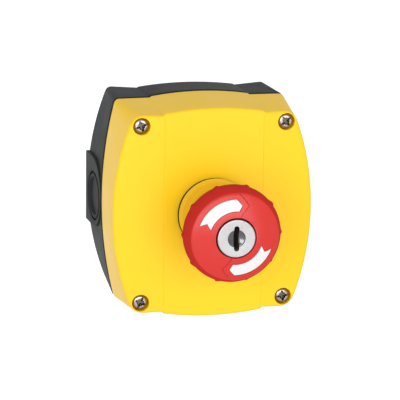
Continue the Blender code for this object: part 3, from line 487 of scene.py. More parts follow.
# Painted shade: a deeper red drawn on the step after each arrow as a dark line
SHADE_LINE_RED = moulded("button_red_step_painted_shade", (0.4, 0.02, 0.017), 0.5, grain=0.000006, tone=0.04, specular=0.2)
WHITE = moulded("arrow_white_plastic", (0.75, 0.75, 0.745), 0.42, grain=0.000008, tone=0.02)
RUBBER = moulded("seal_rubber", (0.006, 0.006, 0.006), 0.7, grain=0.00003, grain_scale=1800.0, tone=0.15,
                 specular=0.1)
INNER = moulded("inner_grey_plastic", (0.16, 0.165, 0.17), 0.45, tone=0.05)
IVORY = moulded("plunger_white_plastic", (0.74, 0.73, 0.69), 0.42, tone=0.03)
CHROME = metal("lock_satin_chrome", (0.5, 0.495, 0.5), 0.3, 1500.0, 0.05)
ROTOR = metal("rotor_bright_chrome", (0.17, 0.173, 0.177), 0.13, 1200.0, 0.06)
# Painted shade: a dark, brownish metal for the key slot's walls, where the slot lies in shade
KEYWAY_SHADE_STEEL = metal("keyway_painted_shade_steel", (0.3, 0.25, 0.22), 0.45, 1300.0, scratches=(1.0, 1.0, 0.2))
# Painted shade: a dark metal for the walls and floor of the screw recesses
RECESS_SHADE_STEEL = metal("screw_recess_painted_shade_steel", (0.15, 0.13, 0.12), 0.4, 1300.0)
SCREW = metal("screw_plated_steel", (0.52, 0.44, 0.405), 0.2, 1400.0, 0.2, 0.00001)
SPRING = metal("spring_bright_steel", (0.58, 0.58, 0.6), 0.28, 1600.0)
BRASS = metal("brass_turned", (0.78, 0.56, 0.26), 0.3, 1100.0, 0.1)


# Box halves

def quarter_outline(level, inset):
    """Points from the middle of the right side, round the corner, to the middle of the top."""
    width = level["half_width"] - inset
    corner_x = level["corner"][0] - inset
    corner_y = level["corner"][1] - inset
    bow = width - corner_x
    bow_radius = (bow * bow + corner_y * corner_y) / (2 * bow)
    blend = max(level["radius"] - inset * 0.6, 1.0)

    def side(y):
        return (width - bow_radius + math.sqrt(bow_radius * bow_radius - y * y), y)

    points = [side(mix(0.0, corner_y - blend, i / SIDE_STEPS)) for i in range(SIDE_STEPS + 1)]
    step_x = BAND_HALF_WIDTH + STEP_WIDTH
    top = level["side_top"] - inset
    along = blend / (corner_x - step_x)
    start = Vector(points[-1])
    knee = Vector((corner_x, corner_y))
    end = Vector((mix(corner_x, step_x, along), mix(corner_y, top, along)))
    for i in range(1, CORNER_STEPS + 1):
        t = i / CORNER_STEPS
        points.append(tuple(start * (1 - t) ** 2 + knee * (2 * t * (1 - t)) + end * t ** 2))
    edge = level["band_edge"] - inset
    foot = Vector((step_x, top))
    head = Vector((BAND_HALF_WIDTH, edge))
    rise = (head - foot).normalized()
    points.append(tuple(foot + (end - foot).normalized() * STEP_ROUND))
    points.append(tuple(foot + rise * STEP_ROUND))
    points.append(tuple(head - rise * STEP_ROUND))
    height = level["half_height"] - inset
    crown = height - edge
    arch_radius = (crown * crown + BAND_HALF_WIDTH ** 2) / (2 * crown)
    for i in range(BAND_STEPS + 1):
        x = mix(BAND_HALF_WIDTH - STEP_ROUND, 0.0, i / BAND_STEPS)
        points.append((x, height - arch_radius + math.sqrt(arch_radius * arch_radius - x * x)))
    return points


def outline(level, height, inset=0.0, slope=0.0):
    """The box's whole outline at a height. A sloped one has a crease at each step and falls away past it."""
    quarter = quarter_outline(level, inset)
    upper = quarter + [(-x, y) for x, y in reversed(quarter[:-1])]
    ring = upper + [(x, -y) for x, y in reversed(upper[1:-1])]
    return [(x, y, height - (face_drop(abs(x), slope) if slope else 0.0)) for x, y in ring]


def face_drop(x, slope):
    """How far the face lies below its middle at a distance from the centre line."""
    if x < BAND_HALF_WIDTH - STEP_ROUND / 2:
        return 0.0
    if x < BAND_HALF_WIDTH + STEP_ROUND:
        return CREASE_DEPTH
    return SIDE_DROP + slope * (x - BAND_HALF_WIDTH)


def corner_positions():
    """Where the cover screws stand, from the upper left to the lower right."""
    return [(x, y) for y in (SCREW_Y, -SCREW_Y) for x in (-SCREW_X, SCREW_X)]


def hollow_mesh(name, rings):
    """The hollow of a box half, which leaves its four screw pillars standing."""
    pillars = [("DIFFERENCE", prism(rod_outline(PILLAR_RADIUS, centre, 36), -5.0, BOX_DEPTH + 5.0, "pillar"))
               for centre in corner_positions()]
    return combined(loft(rings, name), pillars)


def quarter_round(radius):
    """Steps round a quarter circle as (lift, inset) pairs, from the whole inset to the whole lift."""
    angles = (math.pi / 2 * i / 3 for i in range(4))
    return [(radius * (1 - math.cos(angle)), radius * (1 - math.sin(angle))) for angle in angles]


def face_caps(count):
    """Divide the cover's face: the band, two strips along each crease, and the right and left side zones."""
    band_start = SIDE_STEPS + CORNER_STEPS + 4
    side_end = band_start - 2
    half = count // 2
    caps = [[*range(band_start, half - band_start + 1), *range(half + band_start, count - band_start + 1)]]
    caps.append([*range(count - side_end, count), *range(0, side_end + 1)])
    caps.append(list(range(half - side_end, half + side_end + 1)))
    for i in (side_end, side_end + 1):
        caps.append([i, i + 1, count - i - 1, count - i])
        caps.append([half - i, half + i, half + i + 1, half - i - 1])
    return caps


def face_slope_height(x):
    """Height of the cover's face at a distance from the centre line."""
    return BOX_DEPTH - face_drop(abs(x), FACE_SLOPE)


def front_cover():
    """The yellow half: its shell with the creased face, the panel hole and the four counterbores."""
    rim = JOINT_HEIGHT + JOINT_GAP / 2
    rings = []
    for lift, inset in quarter_round(RIM_ROUND):
        rings.append(outline(JOINT, rim + lift, inset))
    for i in range(FILLET_STEPS + 1):
        angle = math.pi / 2 * i / FILLET_STEPS
        height = BOX_DEPTH - EDGE_ROUND * (1 - math.sin(angle))
        rings.append(outline(FRONT, height, EDGE_ROUND * (1 - math.cos(angle)), FACE_SLOPE))
    shell = loft(rings, "front_cover", caps=face_caps(len(rings[0])))
    space = [outline(JOINT, JOINT_HEIGHT - 2.0, WALL), outline(FRONT, CEILING, WALL)]
    steps = [("DIFFERENCE", hollow_mesh("cover_hollow", space))]
    steps.append(("DIFFERENCE", prism(rod_outline(PANEL_HOLE_RADIUS, segments=72), 50.0, 60.0, "panel_hole")))
    bore = turned([(0.0, 60.0), (COUNTERBORE_RADIUS, 60.0), (COUNTERBORE_RADIUS, SCREW_SEAT),
                   (SCREW_HOLE_RADIUS, SCREW_SEAT), (SCREW_HOLE_RADIUS, 20.0), (0.0, 20.0)], "bore", 64)
    lip = COUNTERBORE_LIP
    wide = COUNTERBORE_RADIUS + lip
    lip_cutter = turned([(0.0, 2.0), (wide, 2.0), (wide, 0.0), (wide - lip * 0.7, -lip * 0.3),
                         (COUNTERBORE_RADIUS, -lip), (0.0, -lip)], "bore_lip", 64)
    for x, y in corner_positions():
        steps.append(("DIFFERENCE", moved(bore, (x, y, 0.0))))
        tilt = Matrix.Rotation(math.copysign(math.atan(FACE_SLOPE), x), 4, "Y")
        tilted = lip_cutter.copy()
        tilted.transform(Matrix.Translation(Vector((x, y, face_slope_height(x))) * MM) @ tilt)
        steps.append(("DIFFERENCE", tilted))
    piece("cover_shell", combined(shell, steps), YELLOW, "housing", ["front_cover"])


def knockout_cutters(side):
    """The thin ring and the dish that let a pad's disc be knocked out, turned to lie on the pad."""
    face = mix(PAD_REAR, PAD_FRONT, KNOCKOUT_HEIGHT / JOINT_HEIGHT)
    lean = math.atan((PAD_REAR - PAD_FRONT) / JOINT_HEIGHT)
    inner = KNOCKOUT_RADIUS - KNOCKOUT_GROOVE
    floor = face - KNOCKOUT_DEPTH
    beyond = face + 1.2
    soft = 0.16
    groove = [(KNOCKOUT_RADIUS + 1.0, beyond), (KNOCKOUT_RADIUS + 1.0, face), (KNOCKOUT_RADIUS, face, soft),
              (KNOCKOUT_RADIUS, floor, 0.2), (inner, floor, 0.2), (inner, face, soft), (inner - 0.5, face),
              (inner - 0.5, beyond)]
    edge = KNOCKOUT_DISH_RADIUS
    dish = [(0.0, beyond), (edge + 0.6, beyond), (edge + 0.6, face), (edge, face, soft),
            (edge - 0.5, floor, 0.3), (0.0, floor)]
    rotation = Matrix.Rotation(side * (math.pi / 2 - lean), 4, "Y")
    shift = Matrix.Translation(Vector((0.0, KNOCKOUT_Y, KNOCKOUT_HEIGHT - face * math.sin(lean))) * MM)
    cutters = []
    for name, profile in (("groove", groove), ("dish", dish)):
        mesh = turned(rounded(profile), name, 72)
        mesh.transform(shift @ rotation)
        cutters.append(mesh)
    return cutters


def pad_mesh(side):
    """A cable-entry pad, square at the wall and round towards the joint, with softened edges."""
    steps = 32
    edge = [(-PAD_RADIUS, 0.4)]
    for i in range(steps + 1):
        angle = math.pi * i / steps
        edge.append((-PAD_RADIUS * math.cos(angle), PAD_CENTRE_HEIGHT + PAD_RADIUS * math.sin(angle) * 0.94))
    edge.append((PAD_RADIUS, 0.4))
    soft = 0.35
    rings = [[(side * PAD_INNER, y, z) for y, z in edge]]
    for i in range(5):
        angle = math.pi / 2 * i / 4
        shrink = 1 - soft * (1 - math.cos(angle)) / PAD_RADIUS
        out = soft * (1 - math.sin(angle))
        ring = []
        for y, z in edge:
            height = PAD_CENTRE_HEIGHT + (z - PAD_CENTRE_HEIGHT) * shrink
            face = mix(PAD_REAR, PAD_FRONT, height / JOINT_HEIGHT)
            ring.append((side * (face - out), y * shrink, height))
        rings.append(ring)
    return loft(rings, "pad")


def rear_base():
    """The grey half: its shell with the recessed lip, the pads, the insert holes and the wall slots."""
    rim = JOINT_HEIGHT - JOINT_GAP / 2
    rings = [outline(REAR, lift, inset) for lift, inset in quarter_round(BACK_ROUND)]
    shoulder = rim - RIM_LIP
    for inset, drop in quarter_round(RIM_ROUND):
        rings.append(outline(JOINT, shoulder - drop, inset))
    rings.append(outline(JOINT, shoulder, RIM_LIP_INSET))
    rings.append(outline(JOINT, rim, RIM_LIP_INSET))
    steps = []
    for side in (-1, 1):
        steps.append(("UNION", pad_mesh(side)))
        steps += [("DIFFERENCE", cutter) for cutter in knockout_cutters(side)]
    space = [outline(REAR, FLOOR, WALL), outline(JOINT, JOINT_HEIGHT + 2.0, WALL)]
    steps.append(("DIFFERENCE", hollow_mesh("base_hollow", space)))
    for centre in corner_positions():
        insert = prism(rod_outline(INSERT_RADIUS + 0.2, centre, 36), INSERT_BOTTOM - 0.3, 30.0, "insert_hole")
        tip = prism(rod_outline(SCREW_HOLE_RADIUS, centre, 36), SCREW_TIP - 2.0, 20.0, "tip_hole")
        steps += [("DIFFERENCE", insert), ("DIFFERENCE", tip)]
    for y in (SLOT_Y, -SLOT_Y):
        slot = prism(slot_outline(SLOT_RADIUS, SLOT_LENGTH, (0.0, y)), -1.0, FLOOR + 1.0, "fixing_slot")
        steps.append(("DIFFERENCE", slot))
    shell = combined(loft(rings, "rear_base"), steps)
    piece("base_shell", shell, GREY, "housing", ["rear_base"])


def joint_gasket():
    """The seal between the halves. It lies on the base's rim and wraps over the lip."""
    low = JOINT_HEIGHT - JOINT_GAP / 2 - RIM_LIP + SKIN_GAP
    seat = JOINT_HEIGHT - JOINT_GAP / 2 + SKIN_GAP
    high = JOINT_HEIGHT + JOINT_GAP / 2 - SKIN_GAP
    outer = RIM_LIP_INSET - 0.15
    skin = RIM_LIP_INSET - SKIN_GAP
    section = [(low, outer), (high, outer), (high, GASKET_INNER_INSET), (seat, GASKET_INNER_INSET),
               (seat, skin), (low, skin)]
    rings = [outline(JOINT, height, inset) for height, inset in section]
    mesh = loft(rings, "joint_gasket", closed=True)
    piece("joint_gasket", mesh, RUBBER, "housing", ["cover_gasket"])


# Cover screws

def cover_screws():
    """Pan-head machine screws with a recess that takes a cross or a flat driver."""
    seat = SCREW_SEAT + 0.2
    profile = rounded([(0.0, SCREW_HEAD_TOP), (2.3, SCREW_HEAD_TOP - 0.02, 1.2),
                       (SCREW_HEAD_RADIUS - 0.15, SCREW_HEAD_TOP - 0.75, 0.3),
                       (SCREW_HEAD_RADIUS, seat, 0.15), (SCREW_RADIUS, seat)])
    for i in range(SCREW_THREADS):
        height = mix(seat - 1.5, SCREW_TIP + 1.4, i / SCREW_THREADS)
        profile += [(SCREW_RADIUS, height), (SCREW_RADIUS - 0.3, height - 0.55)]
    profile += [(SCREW_RADIUS - 0.9, SCREW_TIP), (0.0, SCREW_TIP)]
    head = turned(profile, "cover_screw", 40)
    deep = SCREW_HEAD_TOP - DRIVE_DEPTH
    cuts = []
    for turn, half, length, floor in DRIVE_SLOTS:
        top = slot_outline(half, length, turn=turn, steps=5)
        foot = slot_outline(half * 0.7, length * 0.72, turn=turn, steps=5)
        levels = [(foot, deep + floor), (top, SCREW_HEAD_TOP + 0.3), (top, BOX_DEPTH)]
        rings = [[(x, y, height) for x, y in shape] for shape, height in levels]
        cuts.append(("DIFFERENCE", loft(rings, "drive")))
    core = turned([(0.0, BOX_DEPTH), (1.45, BOX_DEPTH), (1.4, SCREW_HEAD_TOP), (0.95, deep + 0.25),
                   (0.75, deep), (0.0, deep + 0.35)], "core", 24)
    cuts.append(("DIFFERENCE", core))
    head = combined(head, cuts)
    for number, ((x, y), turn) in enumerate(zip(corner_positions(), SCREW_TURNS), 1):
        shown = piece(f"cover_screw_{number}_fine", moved(head, (x, y, 0.0), -turn), SCREW, "housing",
                      [f"cover_screw_{number}"])
        paint_recess_shade(shown, x, y)


def paint_recess_shade(shown, x, y):
    """Paint shade in a screw's recess: its walls and floor get a dark dull metal in place of the shade there.
    """
    shown.data.materials.append(RECESS_SHADE_STEEL)
    for face in shown.data.polygons:
        centre = face.center / MM
        inside = math.hypot(centre.x - x, centre.z - y) < SCREW_HEAD_RADIUS - 0.25
        steep = abs(face.normal.y) < 0.72 or -centre.y < SCREW_HEAD_TOP - 1.0
        if inside and steep and -centre.y > SCREW_SEAT + 0.25:
            face.material_index = 1


# Actuator

def actuator():
    """The yellow neck with its flange, its threaded tube behind the cover and its stepped bore."""
    low, high, groove = LATCH_GROOVE
    corners = [
        (NECK_RADIUS, NECK_TOP, 0.4), (NECK_RADIUS, FLANGE_TOP, 0.35), (FLANGE_RADIUS - 1.3, FLANGE_TOP, 0.1),
        (FLANGE_RADIUS - 1.05, FLANGE_TOP - 0.22, 0.1), (FLANGE_RADIUS, FLANGE_TOP - 0.3, 0.5),
        (FLANGE_RADIUS, FLANGE_BOTTOM, 0.15), (TUBE_RADIUS, FLANGE_BOTTOM), (TUBE_RADIUS, THREAD_TOP),
    ]
    for i in range(ACTUATOR_TURNS):
        height = mix(THREAD_TOP - 1.0, TUBE_BOTTOM + 1.2, i / ACTUATOR_TURNS)
        corners += [(TUBE_RADIUS, height), (TUBE_RADIUS - THREAD_DEPTH, height - THREAD_DEPTH)]
    corners += [
        (TUBE_RADIUS - THREAD_DEPTH, TUBE_BOTTOM, 0.3), (NOSE_HOLE_RADIUS, TUBE_BOTTOM, 0.2),
        (NOSE_HOLE_RADIUS, TUBE_FLOOR, 0.2), (BORE_RADIUS, TUBE_FLOOR, 0.3), (BORE_RADIUS, low),
        (groove, low), (groove, high), (BORE_RADIUS, high), (BORE_RADIUS, NECK_TOP, 0.25),
    ]
    mesh = turned(rounded(corners), "actuator_bezel")
    piece("actuator_bezel", mesh, BEZEL_YELLOW, "housing", ["actuator_body"])


def bezel_gasket():
    """The black seal under the flange, shifted left and down so that more black shows at the left: partly the
    seal, partly painted shade of the gap under the flange.
    """
    outer = FLANGE_RADIUS - SKIN_GAP
    inner = TUBE_RADIUS + 0.5
    high = FLANGE_BOTTOM - SKIN_GAP
    low = BOX_DEPTH + SKIN_GAP
    ring = rounded([(outer, high, 0.15), (outer, low, 0.15), (inner, low), (inner, high)])
    seal = moved(turned(ring, "bezel_gasket"), (*GASKET_SHADE_SHIFT, 0.0))
    piece("bezel_gasket_fine", seal, RUBBER, "housing", ["bezel_gasket"])


# Head

def tooth(degrees):
    """Height of the rim's small grip bumps, which rise clockwise to their tips and drop after them."""
    pitch = 360.0 / TOOTH_COUNT
    behind = (TOOTH_ANGLE - degrees) % pitch
    ahead = pitch - behind
    return TOOTH_HEIGHT * max(max(0.0, 1.0 - behind / TOOTH_RISE) ** 1.4, smooth(1.0 - ahead / TOOTH_FALL))


def face_height(radius):
    """Height of the head's slightly domed face."""
    share = (radius - HEAD_BORE_RADIUS) / (FACE_EDGE_RADIUS - HEAD_BORE_RADIUS)
    return mix(FACE_INNER_HEIGHT, FACE_EDGE_HEIGHT, max(0.0, share) ** 1.6)


def relief_tip(radius):
    """Angle of the raised arrows' tip outline at a radius."""
    for (r0, a0), (r1, a1) in zip(RELIEF_TIP, RELIEF_TIP[1:]):
        if radius <= r1:
            return mix(a0, a1, max(0.0, (radius - r0) / (r1 - r0)))
    return RELIEF_TIP[-1][1]


def relief(after_tip):
    """How far the face lies below the raised arrows: a step after each tip, then a slow ramp up again."""
    turn = after_tip % 180.0
    step = smooth(turn / RELIEF_STEP)
    ramp = smooth((turn - RELIEF_RAMP[0]) / RELIEF_RAMP[1])
    return RELIEF_DROP * step * (1.0 - ramp)


def ring_angles():
    """Angles after a tip: fine where the face steps down, coarser elsewhere, over the whole turn."""
    half = [-0.6, -0.2, 0.0, 0.35, 0.7, 1.0, 1.3, 1.65, 2.0, 2.4]
    coarse = 150
    half += [2.4 + (180.0 - 2.4 - 0.9) * i / coarse for i in range(1, coarse + 1)]
    return [angle + turn for turn in (0.0, 180.0) for angle in half]


def arrow_mesh(name, turn, grow, top, bottom, soft=0.0):
    """A curved arrow plate that follows the face, larger by grow all round, with its top edge softened."""
    rows = 28
    columns = 6
    layers = [(bottom, 0.0), (top - soft, 0.0), (top - soft * 0.3, soft * 0.3), (top, soft)] if soft else \
             [(bottom, 0.0), (top, 0.0)]
    rings = []
    for height, inset in layers:
        size = grow - inset
        low = ARROW_RADII[0] - size
        high = ARROW_RADII[2] + size
        grid = [[None] * (2 * columns + 1) for _ in range(rows + 1)]
        for j in range(2 * columns + 1):
            radius = mix(low, ARROW_RADII[1], j / columns) if j <= columns else \
                mix(ARROW_RADII[1], high, (j - columns) / columns)
            which = min(1, j // columns)
            share = j / columns - which
            start = mix(ARROW_STARTS[which], ARROW_STARTS[which + 1], share)
            end = mix(ARROW_ENDS[which], ARROW_ENDS[which + 1], share)
            extra = math.degrees(size / radius)
            for i in range(rows + 1):
                angle = turn + mix(start - extra, end + extra, i / rows)
                grid[i][j] = polar(radius, angle, face_height(radius) + height)
        rings.append(grid)
    shape = bmesh.new()
    made = [[[shape.verts.new(Vector(p) * MM) for p in row] for row in grid] for grid in rings]
    last_column = 2 * columns
    for level, flip in ((made[0], True), (made[-1], False)):
        for i in range(rows):
            for j in range(last_column):
                corners = (level[i][j], level[i][j + 1], level[i + 1][j + 1], level[i + 1][j])
                shape.faces.new(corners[::-1] if flip else corners)
    around = [(i, 0) for i in range(rows)] + [(rows, j) for j in range(last_column)]
    around += [(i, last_column) for i in range(rows, 0, -1)] + [(0, j) for j in range(last_column, 0, -1)]
    for lower, upper in zip(made, made[1:]):
        for (a, b), (c, d) in zip(around, around[1:] + around[:1]):
            shape.faces.new((lower[a][b], lower[c][d], upper[c][d], upper[a][b]))
    for grid in made[1:-1]:
        for vert in [vert for row in grid for vert in row if not vert.link_faces]:
            shape.verts.remove(vert)
    return to_mesh(shape, name)


def head():
    """The red head: domed face with two raised arrow fields, toothed rim, hollow underside and hub."""
    face = [HEAD_BORE_RADIUS + 0.12]
    face += [8.2, 8.6, 9.4, 10.2, 11.0, 11.8, 12.6, 13.3, 14.0, 14.7, 15.4, 16.0, 16.5, 16.9]
    stations = [(HEAD_BORE_RADIUS, FACE_INNER_HEIGHT - 0.15, 0.0, 1.0)]
    stations += [(radius, face_height(radius), 0.0, 1.0) for radius in face]
    stations += [
        (17.2, 93.36, 0.0, 0.9), (17.32, 93.2, 0.0, 0.7), (17.5, 92.95, 0.0, 0.4), (17.8, 92.45, 0.0, 0.0),
        (18.15, 91.8, 0.0, 0.0), (18.5, 91.0, 0.0, 0.0), (18.8, 90.2, 0.1, 0.0), (19.02, 89.4, 0.45, 0.0),
        (19.15, 88.7, 0.9, 0.0), (HEAD_RADIUS, 87.9, 1.0, 0.0), (HEAD_RADIUS, 86.8, 1.0, 0.0),
        (19.1, 86.0, 1.0, 0.0), (18.85, 85.2, 0.8, 0.0), (18.5, 84.7, 0.5, 0.0),
        (18.05, SKIRT_BOTTOM, 0.2, 0.0), (17.2, SKIRT_BOTTOM, 0.0, 0.0), (16.85, 84.7, 0.0, 0.0),
        (16.2, 88.6, 0.0, 0.0), (15.9, 90.1, 0.0, 0.0), (15.4, 90.7, 0.0, 0.0),
        (HUB_RADIUS + 0.6, 91.0, 0.0, 0.0), (HUB_RADIUS, 90.5, 0.0, 0.0),
        (HUB_RADIUS, HUB_BOTTOM + 0.3, 0.0, 0.0), (HUB_RADIUS - 0.3, HUB_BOTTOM, 0.0, 0.0),
        (HEAD_BORE_RADIUS, HUB_BOTTOM, 0.0, 0.0),
    ]
    angles = ring_angles()
    rings = []
    for radius, height, weight, sink in stations:
        tip = relief_tip(radius)
        ring = []
        for after_tip in angles:
            degrees = tip + after_tip
            ring.append(polar(radius + weight * tooth(degrees), degrees, height - sink * relief(after_tip)))
        rings.append(ring)
    cap = loft(rings, "red_head", closed=True)
    pockets = []
    for word, turn in (("upper", 0.0), ("lower", 180.0)):
        pocket = arrow_mesh(f"pocket_{word}", turn, ARROW_GAP, 1.0, -POCKET_DEPTH)
        pockets.append(("DIFFERENCE", pocket))
        bottom = ARROW_PROUD - ARROW_DEPTH
        inlay = arrow_mesh(f"arrow_{word}", turn, 0.0, ARROW_PROUD, bottom, soft=0.08)
        piece(f"arrow_{word}_fine", inlay, WHITE, "head", [f"arrow_inlay_{word}"])
    shown = piece("red_head", combined(cap, pockets), RED, "head", ["mushroom_cap"])
    paint_skirt_and_step_shade(shown)


def paint_skirt_and_step_shade(shown):
    """Give the rim outside the face its less glossy red, darker as painted shade, and paint a shade line in
    deeper red on the step after each arrow.
    """
    shown.data.materials.append(SKIRT_MATTE_SHADE_RED)
    shown.data.materials.append(SHADE_LINE_RED)
    for face in shown.data.polygons:
        x, y, h = face.center.x / MM, face.center.z / MM, -face.center.y / MM
        radius = math.hypot(x, y)
        # painted shade: the rim below the face edge gets the darker red
        if h < FACE_EDGE_HEIGHT - 0.4 and radius > 17.3:
            face.material_index = 1
        # painted shade line: the step after each arrow's tip gets the deeper red
        elif h > FACE_EDGE_HEIGHT - 1.2 and HEAD_BORE_RADIUS + 0.2 < radius < FACE_EDGE_RADIUS + 0.3:
            after = (math.degrees(math.atan2(x, y)) - relief_tip(radius)) % 180.0
            if SHADE_LINE_SPAN[0] < after < SHADE_LINE_SPAN[1]:
                face.material_index = 2


# Lock

def paint_keyway_shade(shown, top):
    """Paint shade on the walls of the key slot, below a height: a dark dull metal stands in for the shade
    deep in the slot.
    """
    shown.data.materials.append(KEYWAY_SHADE_STEEL)
    half = KEY_SLOT_WIDTH / 2 + 0.02
    for face in shown.data.polygons:
        x, y, h = face.center.x / MM, face.center.z / MM, -face.center.y / MM
        steep = abs(face.normal.y) < 0.5 or h < KEY_SLOT_BOTTOM + 0.1
        if steep and abs(x) < half and abs(y) < KEY_SLOT_LENGTH / 2 + 0.02 and h < top:
            face.material_index = 1


def lock():
    """Satin barrel with a dished mouth, and the rotor in it with its key slot."""
    cap_bottom = ROTOR_TOP + 0.3
    mouth = ROTOR_NOSE_RADIUS + 0.12
    bottom, top, neck = BARREL_GROOVE
    profile = rounded([
        (LOCK_RADIUS, LOCK_FACE, 0.4), (LOCK_RADIUS, 93.6, 0.1), (LOCK_BODY_RADIUS, 93.3, 0.1),
        (LOCK_BODY_RADIUS, top), (neck, top), (neck, bottom), (LOCK_BODY_RADIUS, bottom),
        (LOCK_BODY_RADIUS, LOCK_BOTTOM, 0.3), (ROTOR_RADIUS + 0.3, LOCK_BOTTOM, 0.2),
        (ROTOR_RADIUS + 0.3, cap_bottom), (mouth, cap_bottom), (mouth, LOCK_FACE - 0.05, 0.12),
    ])
    notch = slot_outline(KEY_SLOT_WIDTH / 2, KEY_SLOT_LENGTH)
    cut = prism(notch, cap_bottom - 0.1, LOCK_FACE + 2.9, "notch")
    barrel = combined(turned(profile, "lock_barrel"), [("DIFFERENCE", cut)])
    shown = piece("lock_barrel_fine", barrel, CHROME, "head", ["lock_barrel"])
    paint_keyway_shade(shown, LOCK_FACE - 0.2)
    dish = [(0.0, DISH_BOTTOM)]
    for i in range(1, 11):
        radius = (ROTOR_NOSE_RADIUS - 0.1) * i / 10
        dish.append((radius, DISH_BOTTOM + DISH_RISE * (i / 10) ** 1.9))
    nose_top = DISH_BOTTOM + DISH_RISE
    profile = rounded(dish + [(ROTOR_NOSE_RADIUS, nose_top, 0.06), (ROTOR_NOSE_RADIUS, ROTOR_TOP),
                              (ROTOR_RADIUS, ROTOR_TOP, 0.2), (ROTOR_RADIUS, ROTOR_BOTTOM, 0.3),
                              (0.0, ROTOR_BOTTOM)])
    slot = slot_outline(KEY_SLOT_WIDTH / 2, ROTOR_SLOT_LENGTH)
    cut = prism(slot, KEY_SLOT_BOTTOM, LOCK_FACE + 2.9, "key_slot")
    rotor = combined(turned(profile, "lock_rotor", 72), [("DIFFERENCE", cut)])
    shown = piece("lock_rotor_fine", rotor, ROTOR, "key_rotor", ["lock_rotor"])
    paint_keyway_shade(shown, LOCK_FACE)


# Springs

def coil_mesh(name, ends, coil):
    """A compression spring along h with closed ends, as a round wire on a helix between two heights."""
    low, high = ends
    radius, wire, turns = coil
    around = 12
    per_turn = 40
    count = int(turns * per_turn)
    pitch_low = low + wire
    pitch_high = high - wire
    rings = []
    for i in range(count + 1):
        share = i / count
        angle = 2 * math.pi * i / per_turn
        rise = mix(pitch_low, pitch_high, smooth(share) * 0.35 + share * 0.65)
        centre = Vector((radius * math.cos(angle), radius * math.sin(angle), rise))
        out = Vector((math.cos(angle), math.sin(angle), 0.0))
        up = Vector((0.0, 0.0, 1.0))
        rings.append([tuple(centre + (out * math.cos(a) + up * math.sin(a)) * wire)
                      for a in (2 * math.pi * k / around for k in range(around))])
    return loft(rings, name)


def springs():
    """The three springs, each on the body that carries it."""
    mesh = coil_mesh("return_spring", RETURN_SPRING, RETURN_COIL)
    spring = piece("return_spring_fine", mesh, SPRING, "head", ["return_spring"])
    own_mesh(spring)

    mesh = coil_mesh("contact_spring", CONTACT_SPRING, CONTACT_COIL)
    spring = piece("contact_spring_fine", mesh, SPRING, "contact_carrier", ["contact_spring"])
    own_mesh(spring)

    mesh = coil_mesh("latch_spring", LATCH_SPRING, LATCH_COIL)
    lift = Matrix.Translation(Vector((0.0, 0.0, LATCH_MIDDLE)) * MM)
    mesh.transform(lift @ Matrix.Rotation(math.pi / 2, 4, "Y"))
    spring = piece("latch_spring_fine", mesh, SPRING, "latch", ["latch_spring"])
    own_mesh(spring)


# Other CAD nodes keep their shapes and get a finish

FINISHES = {
    "stem_seal": RUBBER,
    "fixing_nut": GREY, "mounting_adapter": INNER, "pusher": INNER,
    "contact_block_housing": INNER, "contact_block_cover": INNER, "contact_plunger": IVORY,
    "adapter_screw": SCREW, "terminal_screw_upper": SCREW, "terminal_screw_lower": SCREW,
    "terminal_clamp_upper": SPRING, "terminal_clamp_lower": SPRING,
    "lock_clip": SPRING, "latch_slider": SPRING,
    "lock_cam": BRASS, "contact_bridge": BRASS,
    "fixed_contact_upper": BRASS, "fixed_contact_lower": BRASS,
    "thread_insert_1": BRASS, "thread_insert_2": BRASS, "thread_insert_3": BRASS, "thread_insert_4": BRASS,
}


def finish_inner_nodes():
    """Give the CAD nodes that are shown as they are their materials."""
    for name, material in FINISHES.items():
        node = NODES[name]
        if not node.material_slots:
            node.data.materials.append(material)
        for material_slot in node.material_slots:
            material_slot.material = material


# Floor, light and camera

def floor():
    """A pale floor that glows softly behind the station, where the camera looks past it."""
    nodes = Nodes("floor_white", 0.6)
    parts = nodes.tree.nodes.new("ShaderNodeSeparateXYZ")
    nodes.link(nodes.place, parts, "Vector")
    glow = nodes.ranged(parts.outputs["Y"], 0.0, FLOOR_GLOW, *GLOW_RANGE)
    nodes.link(glow, nodes.shader, "Emission Strength")
    nodes.shader.inputs["Emission Color"].default_value = (1.0, 1.0, 1.0, 1.0)
    nodes.colour(nodes.ramp(nodes.noise(3.0, 2.0), [(0.3, (0.9, 0.9, 0.9)), (0.7, (0.93, 0.93, 0.93))]))
    shape = bmesh.new()
    bmesh.ops.create_grid(shape, x_segments=8, y_segments=8, size=FLOOR_SIZE)
    mesh = bpy.data.meshes.new("floor")
    shape.to_mesh(mesh)
    shape.free()
    mesh.materials.append(nodes.material)
    ground = bpy.data.objects.new("floor", mesh)
    ground.location.z = FLOOR_LEVEL
    bpy.context.scene.collection.objects.link(ground)


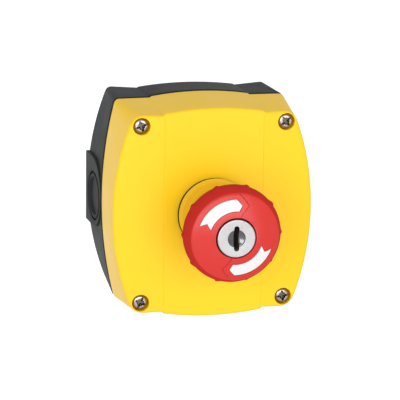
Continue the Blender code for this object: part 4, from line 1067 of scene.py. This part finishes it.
def area_light(name, place, size, watts):
    """A white rectangular light that faces the station."""
    light = bpy.data.lights.new(name, "AREA")
    light.shape = "RECTANGLE"
    light.size, light.size_y = size
    light.energy = watts
    lamp = bpy.data.objects.new(name, light)
    lamp.location = place
    lamp.rotation_mode = "QUATERNION"
    lamp.rotation_quaternion = (Vector(STATION_MIDDLE) - Vector(place)).to_track_quat("-Z", "Y")
    bpy.context.scene.collection.objects.link(lamp)


def studio():
    """A grey surround, a large light in front and a smaller one to the left."""
    world = bpy.data.worlds.new("studio")
    world.use_nodes = True
    world.node_tree.nodes["Background"].inputs["Color"].default_value = (*WORLD_GREY, 1.0)
    bpy.context.scene.world = world
    bpy.context.scene.view_settings.view_transform = "Standard"
    area_light("front", **FRONT_LIGHT)
    area_light("card", **CARD_LIGHT)


def camera():
    """The camera stands left of and above the front, turned by a yaw, a pitch and a roll."""
    yaw, pitch, roll = (math.radians(angle) for angle in CAMERA_ANGLES)
    forward = Vector((math.sin(yaw) * math.cos(pitch), math.cos(yaw) * math.cos(pitch), -math.sin(pitch)))
    level = Vector((math.cos(yaw), -math.sin(yaw), 0.0))
    upright = level.cross(forward)
    right = level * math.cos(roll) + upright * math.sin(roll)
    up = upright * math.cos(roll) - level * math.sin(roll)
    middle_of_face = Vector((0.0, -BOX_DEPTH, 0.0))
    place = middle_of_face + right * CAMERA_OFFSET[0] + up * CAMERA_OFFSET[1] - forward * CAMERA_DISTANCE
    data = bpy.data.cameras.new("camera")
    data.sensor_width = SENSOR_WIDTH
    data.lens = FOCAL_LENGTH
    data.clip_start = 0.01
    data.clip_end = 50.0
    shown = bpy.data.objects.new("camera", data)
    turn = Matrix((right, up, -forward)).transposed().to_4x4()
    shown.matrix_world = Matrix.Translation(place * MM) @ turn
    bpy.context.scene.collection.objects.link(shown)
    bpy.context.scene.camera = shown


front_cover()
rear_base()
joint_gasket()
cover_screws()
actuator()
bezel_gasket()
head()
lock()
springs()
finish_inner_nodes()
floor()
studio()
camera()
